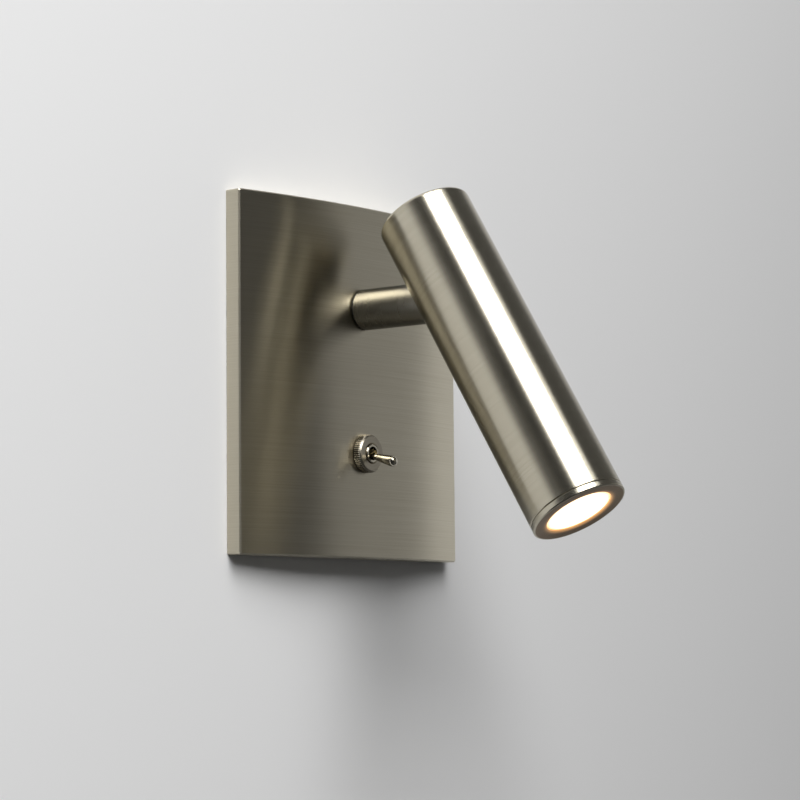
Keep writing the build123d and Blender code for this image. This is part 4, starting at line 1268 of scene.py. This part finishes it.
@dataclass(frozen=True)
class SoftLight:
    """A plain soft panel that faces the lamp."""

    name: str
    azimuth: float
    elevation: float
    distance: float
    width: float
    height: float
    power: float

    def build(self, target: Vector) -> None:
        """Adds the panel.

        Args:
            target: the point that it faces.
        """
        light = bpy.data.lights.new(self.name, "AREA")
        light.shape = "RECTANGLE"
        light.size = self.width
        light.size_y = self.height
        light.energy = self.power
        panel = bpy.data.objects.new(self.name, light)
        bpy.context.scene.collection.objects.link(panel)
        across, up = math.radians(self.azimuth), math.radians(self.elevation)
        direction = Vector((math.sin(across) * math.cos(up), -math.cos(across) * math.cos(up), math.sin(up)))
        panel.location = target + direction * self.distance
        panel.rotation_euler = (-direction).to_track_quat("-Z", "Y").to_euler()


class Studio:
    """The wall, the light and the camera."""

    wall_half: float = 6.0
    recess_half: tuple[float, float] = (55.8 * MM, 58.3 * MM)
    wall_colour: str = "F8F8F8"
    wall_painted_shade_colour: str = "CFCFCF"
    wall_end_painted_shade_colour: str = "303030"
    wall_painted_shade_span: tuple[float, float] = (-0.25, 0.5)
    wall_end_painted_shade_span: tuple[float, float] = (-0.42, -0.26)
    room_left: str = "2A2A2A"
    room_right: str = "545454"
    back_pale: str = "DADADA"
    camera_place = Vector((-0.7245, -0.6007, -0.0954))
    camera_turn: float = 0.9007
    camera_lift: float = 0.095
    camera_roll: float = -0.009
    camera_lens: float = 124.08
    target = Vector((0.0, -0.05, 0.0))
    lights: tuple[SoftLight, ...] = (
        SoftLight("key_panel", -28.5, 47.0, 1.8, 1.2, 1.7, 41.0),
        SoftLight("wide_panel", -18.0, 51.0, 2.0, 1.7, 0.5, 5.6),
        SoftLight("side_panel", 64.0, 8.0, 1.7, 1.3, 0.9, 1.05),
        SoftLight("far_side_panel", 80.0, 0.0, 1.7, 0.7, 0.9, 0.7),
    )

    def build(self) -> None:
        """Adds everything round the lamp."""
        self.add_wall()
        self.add_world()
        for light in self.lights:
            light.build(self.target)
        self.add_camera()

    def add_wall(self) -> None:
        """Adds the matt-painted wall, which can be seen through from behind. Painted shade darkens its paint towards
        the right, and turns its far left end near black to all but camera rays.
        """
        bm = bmesh.new()
        bmesh.ops.create_grid(bm, x_segments=1, y_segments=1, size=self.wall_half)
        bmesh.ops.rotate(bm, verts=bm.verts, cent=(0, 0, 0), matrix=Matrix.Rotation(math.radians(90), 3, "X"))
        for normal, half in (((1, 0, 0), self.recess_half[0]), ((0, 0, 1), self.recess_half[1])):
            for side in (-half, half):
                bmesh.ops.bisect_plane(
                    bm, geom=bm.verts[:] + bm.edges[:] + bm.faces[:], plane_co=Vector(normal) * side, plane_no=normal
                )
        recess = [face for face in bm.faces if face.calc_center_median().length < min(self.recess_half)]
        bmesh.ops.delete(bm, geom=recess, context="FACES")
        bmesh.ops.translate(bm, verts=bm.verts, vec=(0, 0.0001, 0))
        mesh = bpy.data.meshes.new("wall")
        bm.to_mesh(mesh)
        bm.free()
        wall = bpy.data.objects.new("wall", mesh)
        bpy.context.scene.collection.objects.link(wall)
        material = bpy.data.materials.new("matt_wall_paint")
        material.use_nodes = True
        tree = material.node_tree
        tree.nodes.clear()
        place = add_node(tree, "ShaderNodeSeparateXYZ", {"Vector": object_point(tree)})
        # Painted shade: the wall's paint darkens towards the right, standing in for the key light's fall-off.
        right = spread(tree, place.outputs["X"], 0.0, 1.0, *self.wall_painted_shade_span)
        left = spread(tree, place.outputs["X"], 1.0, 0.0, *self.wall_end_painted_shade_span)
        shaded_paint = blend_colours(tree, right, linear(self.wall_colour), linear(self.wall_painted_shade_colour))
        path = add_node(tree, "ShaderNodeLightPath")
        # Painted shade: for all but camera rays the wall's far left end turns near black.
        unseen = add_node(tree, "ShaderNodeMath", {0: 1.0, 1: path.outputs["Is Camera Ray"]}, operation="SUBTRACT")
        painted_dark_end = add_node(tree, "ShaderNodeMath", {0: left, 1: unseen.outputs["Value"]}, operation="MULTIPLY")
        colour = blend_colours(tree, painted_dark_end.outputs["Value"], shaded_paint, linear(self.wall_end_painted_shade_colour))
        paint = add_node(tree, "ShaderNodeBsdfDiffuse", {"Color": colour})
        clear = add_node(tree, "ShaderNodeBsdfTransparent")
        geometry = add_node(tree, "ShaderNodeNewGeometry")
        sides = add_node(
            tree,
            "ShaderNodeMixShader",
            {0: geometry.outputs["Backfacing"], 1: paint.outputs["BSDF"], 2: clear.outputs["BSDF"]},
        )
        add_node(tree, "ShaderNodeOutputMaterial", {"Surface": sides.outputs["Shader"]})
        mesh.materials.append(material)

    def add_world(self) -> None:
        """Makes the room dark to reflections, the space behind the wall pale, and both pale to the eye."""
        world = bpy.data.worlds.new("studio")
        bpy.context.scene.world = world
        world.use_nodes = True
        tree = world.node_tree
        tree.nodes.clear()
        coordinates = add_node(tree, "ShaderNodeTexCoord")
        parts = add_node(tree, "ShaderNodeSeparateXYZ", {"Vector": coordinates.outputs["Generated"]})
        behind = add_node(tree, "ShaderNodeMath", {0: parts.outputs["Y"], 1: 0.0}, operation="GREATER_THAN")
        path = add_node(tree, "ShaderNodeLightPath")
        pale = add_node(
            tree, "ShaderNodeMath", {0: behind.outputs["Value"], 1: path.outputs["Is Camera Ray"]}, operation="MAXIMUM"
        )
        across = spread(tree, parts.outputs["X"], 0.0, 1.0, -0.6, 0.7)
        room = blend_colours(tree, across, linear(self.room_left), linear(self.room_right))
        colour = blend_colours(tree, pale.outputs["Value"], room, linear(self.back_pale))
        background = add_node(tree, "ShaderNodeBackground", {"Color": colour, "Strength": 1.0})
        add_node(tree, "ShaderNodeOutputWorld", {"Surface": background.outputs["Background"]})

    def add_camera(self) -> None:
        """Adds the camera at the photograph's viewpoint."""
        camera = bpy.data.cameras.new("camera")
        camera.lens = self.camera_lens
        camera.sensor_width = 36.0
        camera.clip_start = 0.01
        viewer = bpy.data.objects.new("camera", camera)
        bpy.context.scene.collection.objects.link(viewer)
        a, p, r = self.camera_turn, self.camera_lift, self.camera_roll
        forward = Vector((math.sin(a) * math.cos(p), math.cos(a) * math.cos(p), math.sin(p)))
        right = Vector((math.cos(a), -math.sin(a), 0.0))
        up = Vector((-math.sin(a) * math.sin(p), -math.cos(a) * math.sin(p), math.cos(p)))
        rolled_right = math.cos(r) * right + math.sin(r) * up
        rolled_up = -math.sin(r) * right + math.cos(r) * up
        turn = Matrix((rolled_right, rolled_up, -forward)).transposed()
        viewer.matrix_world = Matrix.Translation(self.camera_place) @ turn.to_4x4()
        bpy.context.scene.camera = viewer


# ---------------------------------------------------------------- the lamp


def main() -> None:
    """Loads the frame, dresses and details the lamp, and sets up the studio."""
    logging.basicConfig(level=logging.INFO, format="%(name)s: %(message)s")
    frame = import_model()
    bpy.context.scene.view_settings.view_transform = "Standard"
    rack = FinishRack(FINISHES)
    rack.dress_nodes(frame["nodes"])
    for assembly in (SwitchTrim(rack), LightEnd(rack), DriverLid(rack)):
        assembly.build()
    for leads in LEADS:
        leads.build(rack)
    Studio().build()


if __name__ == "__main__":
    main()
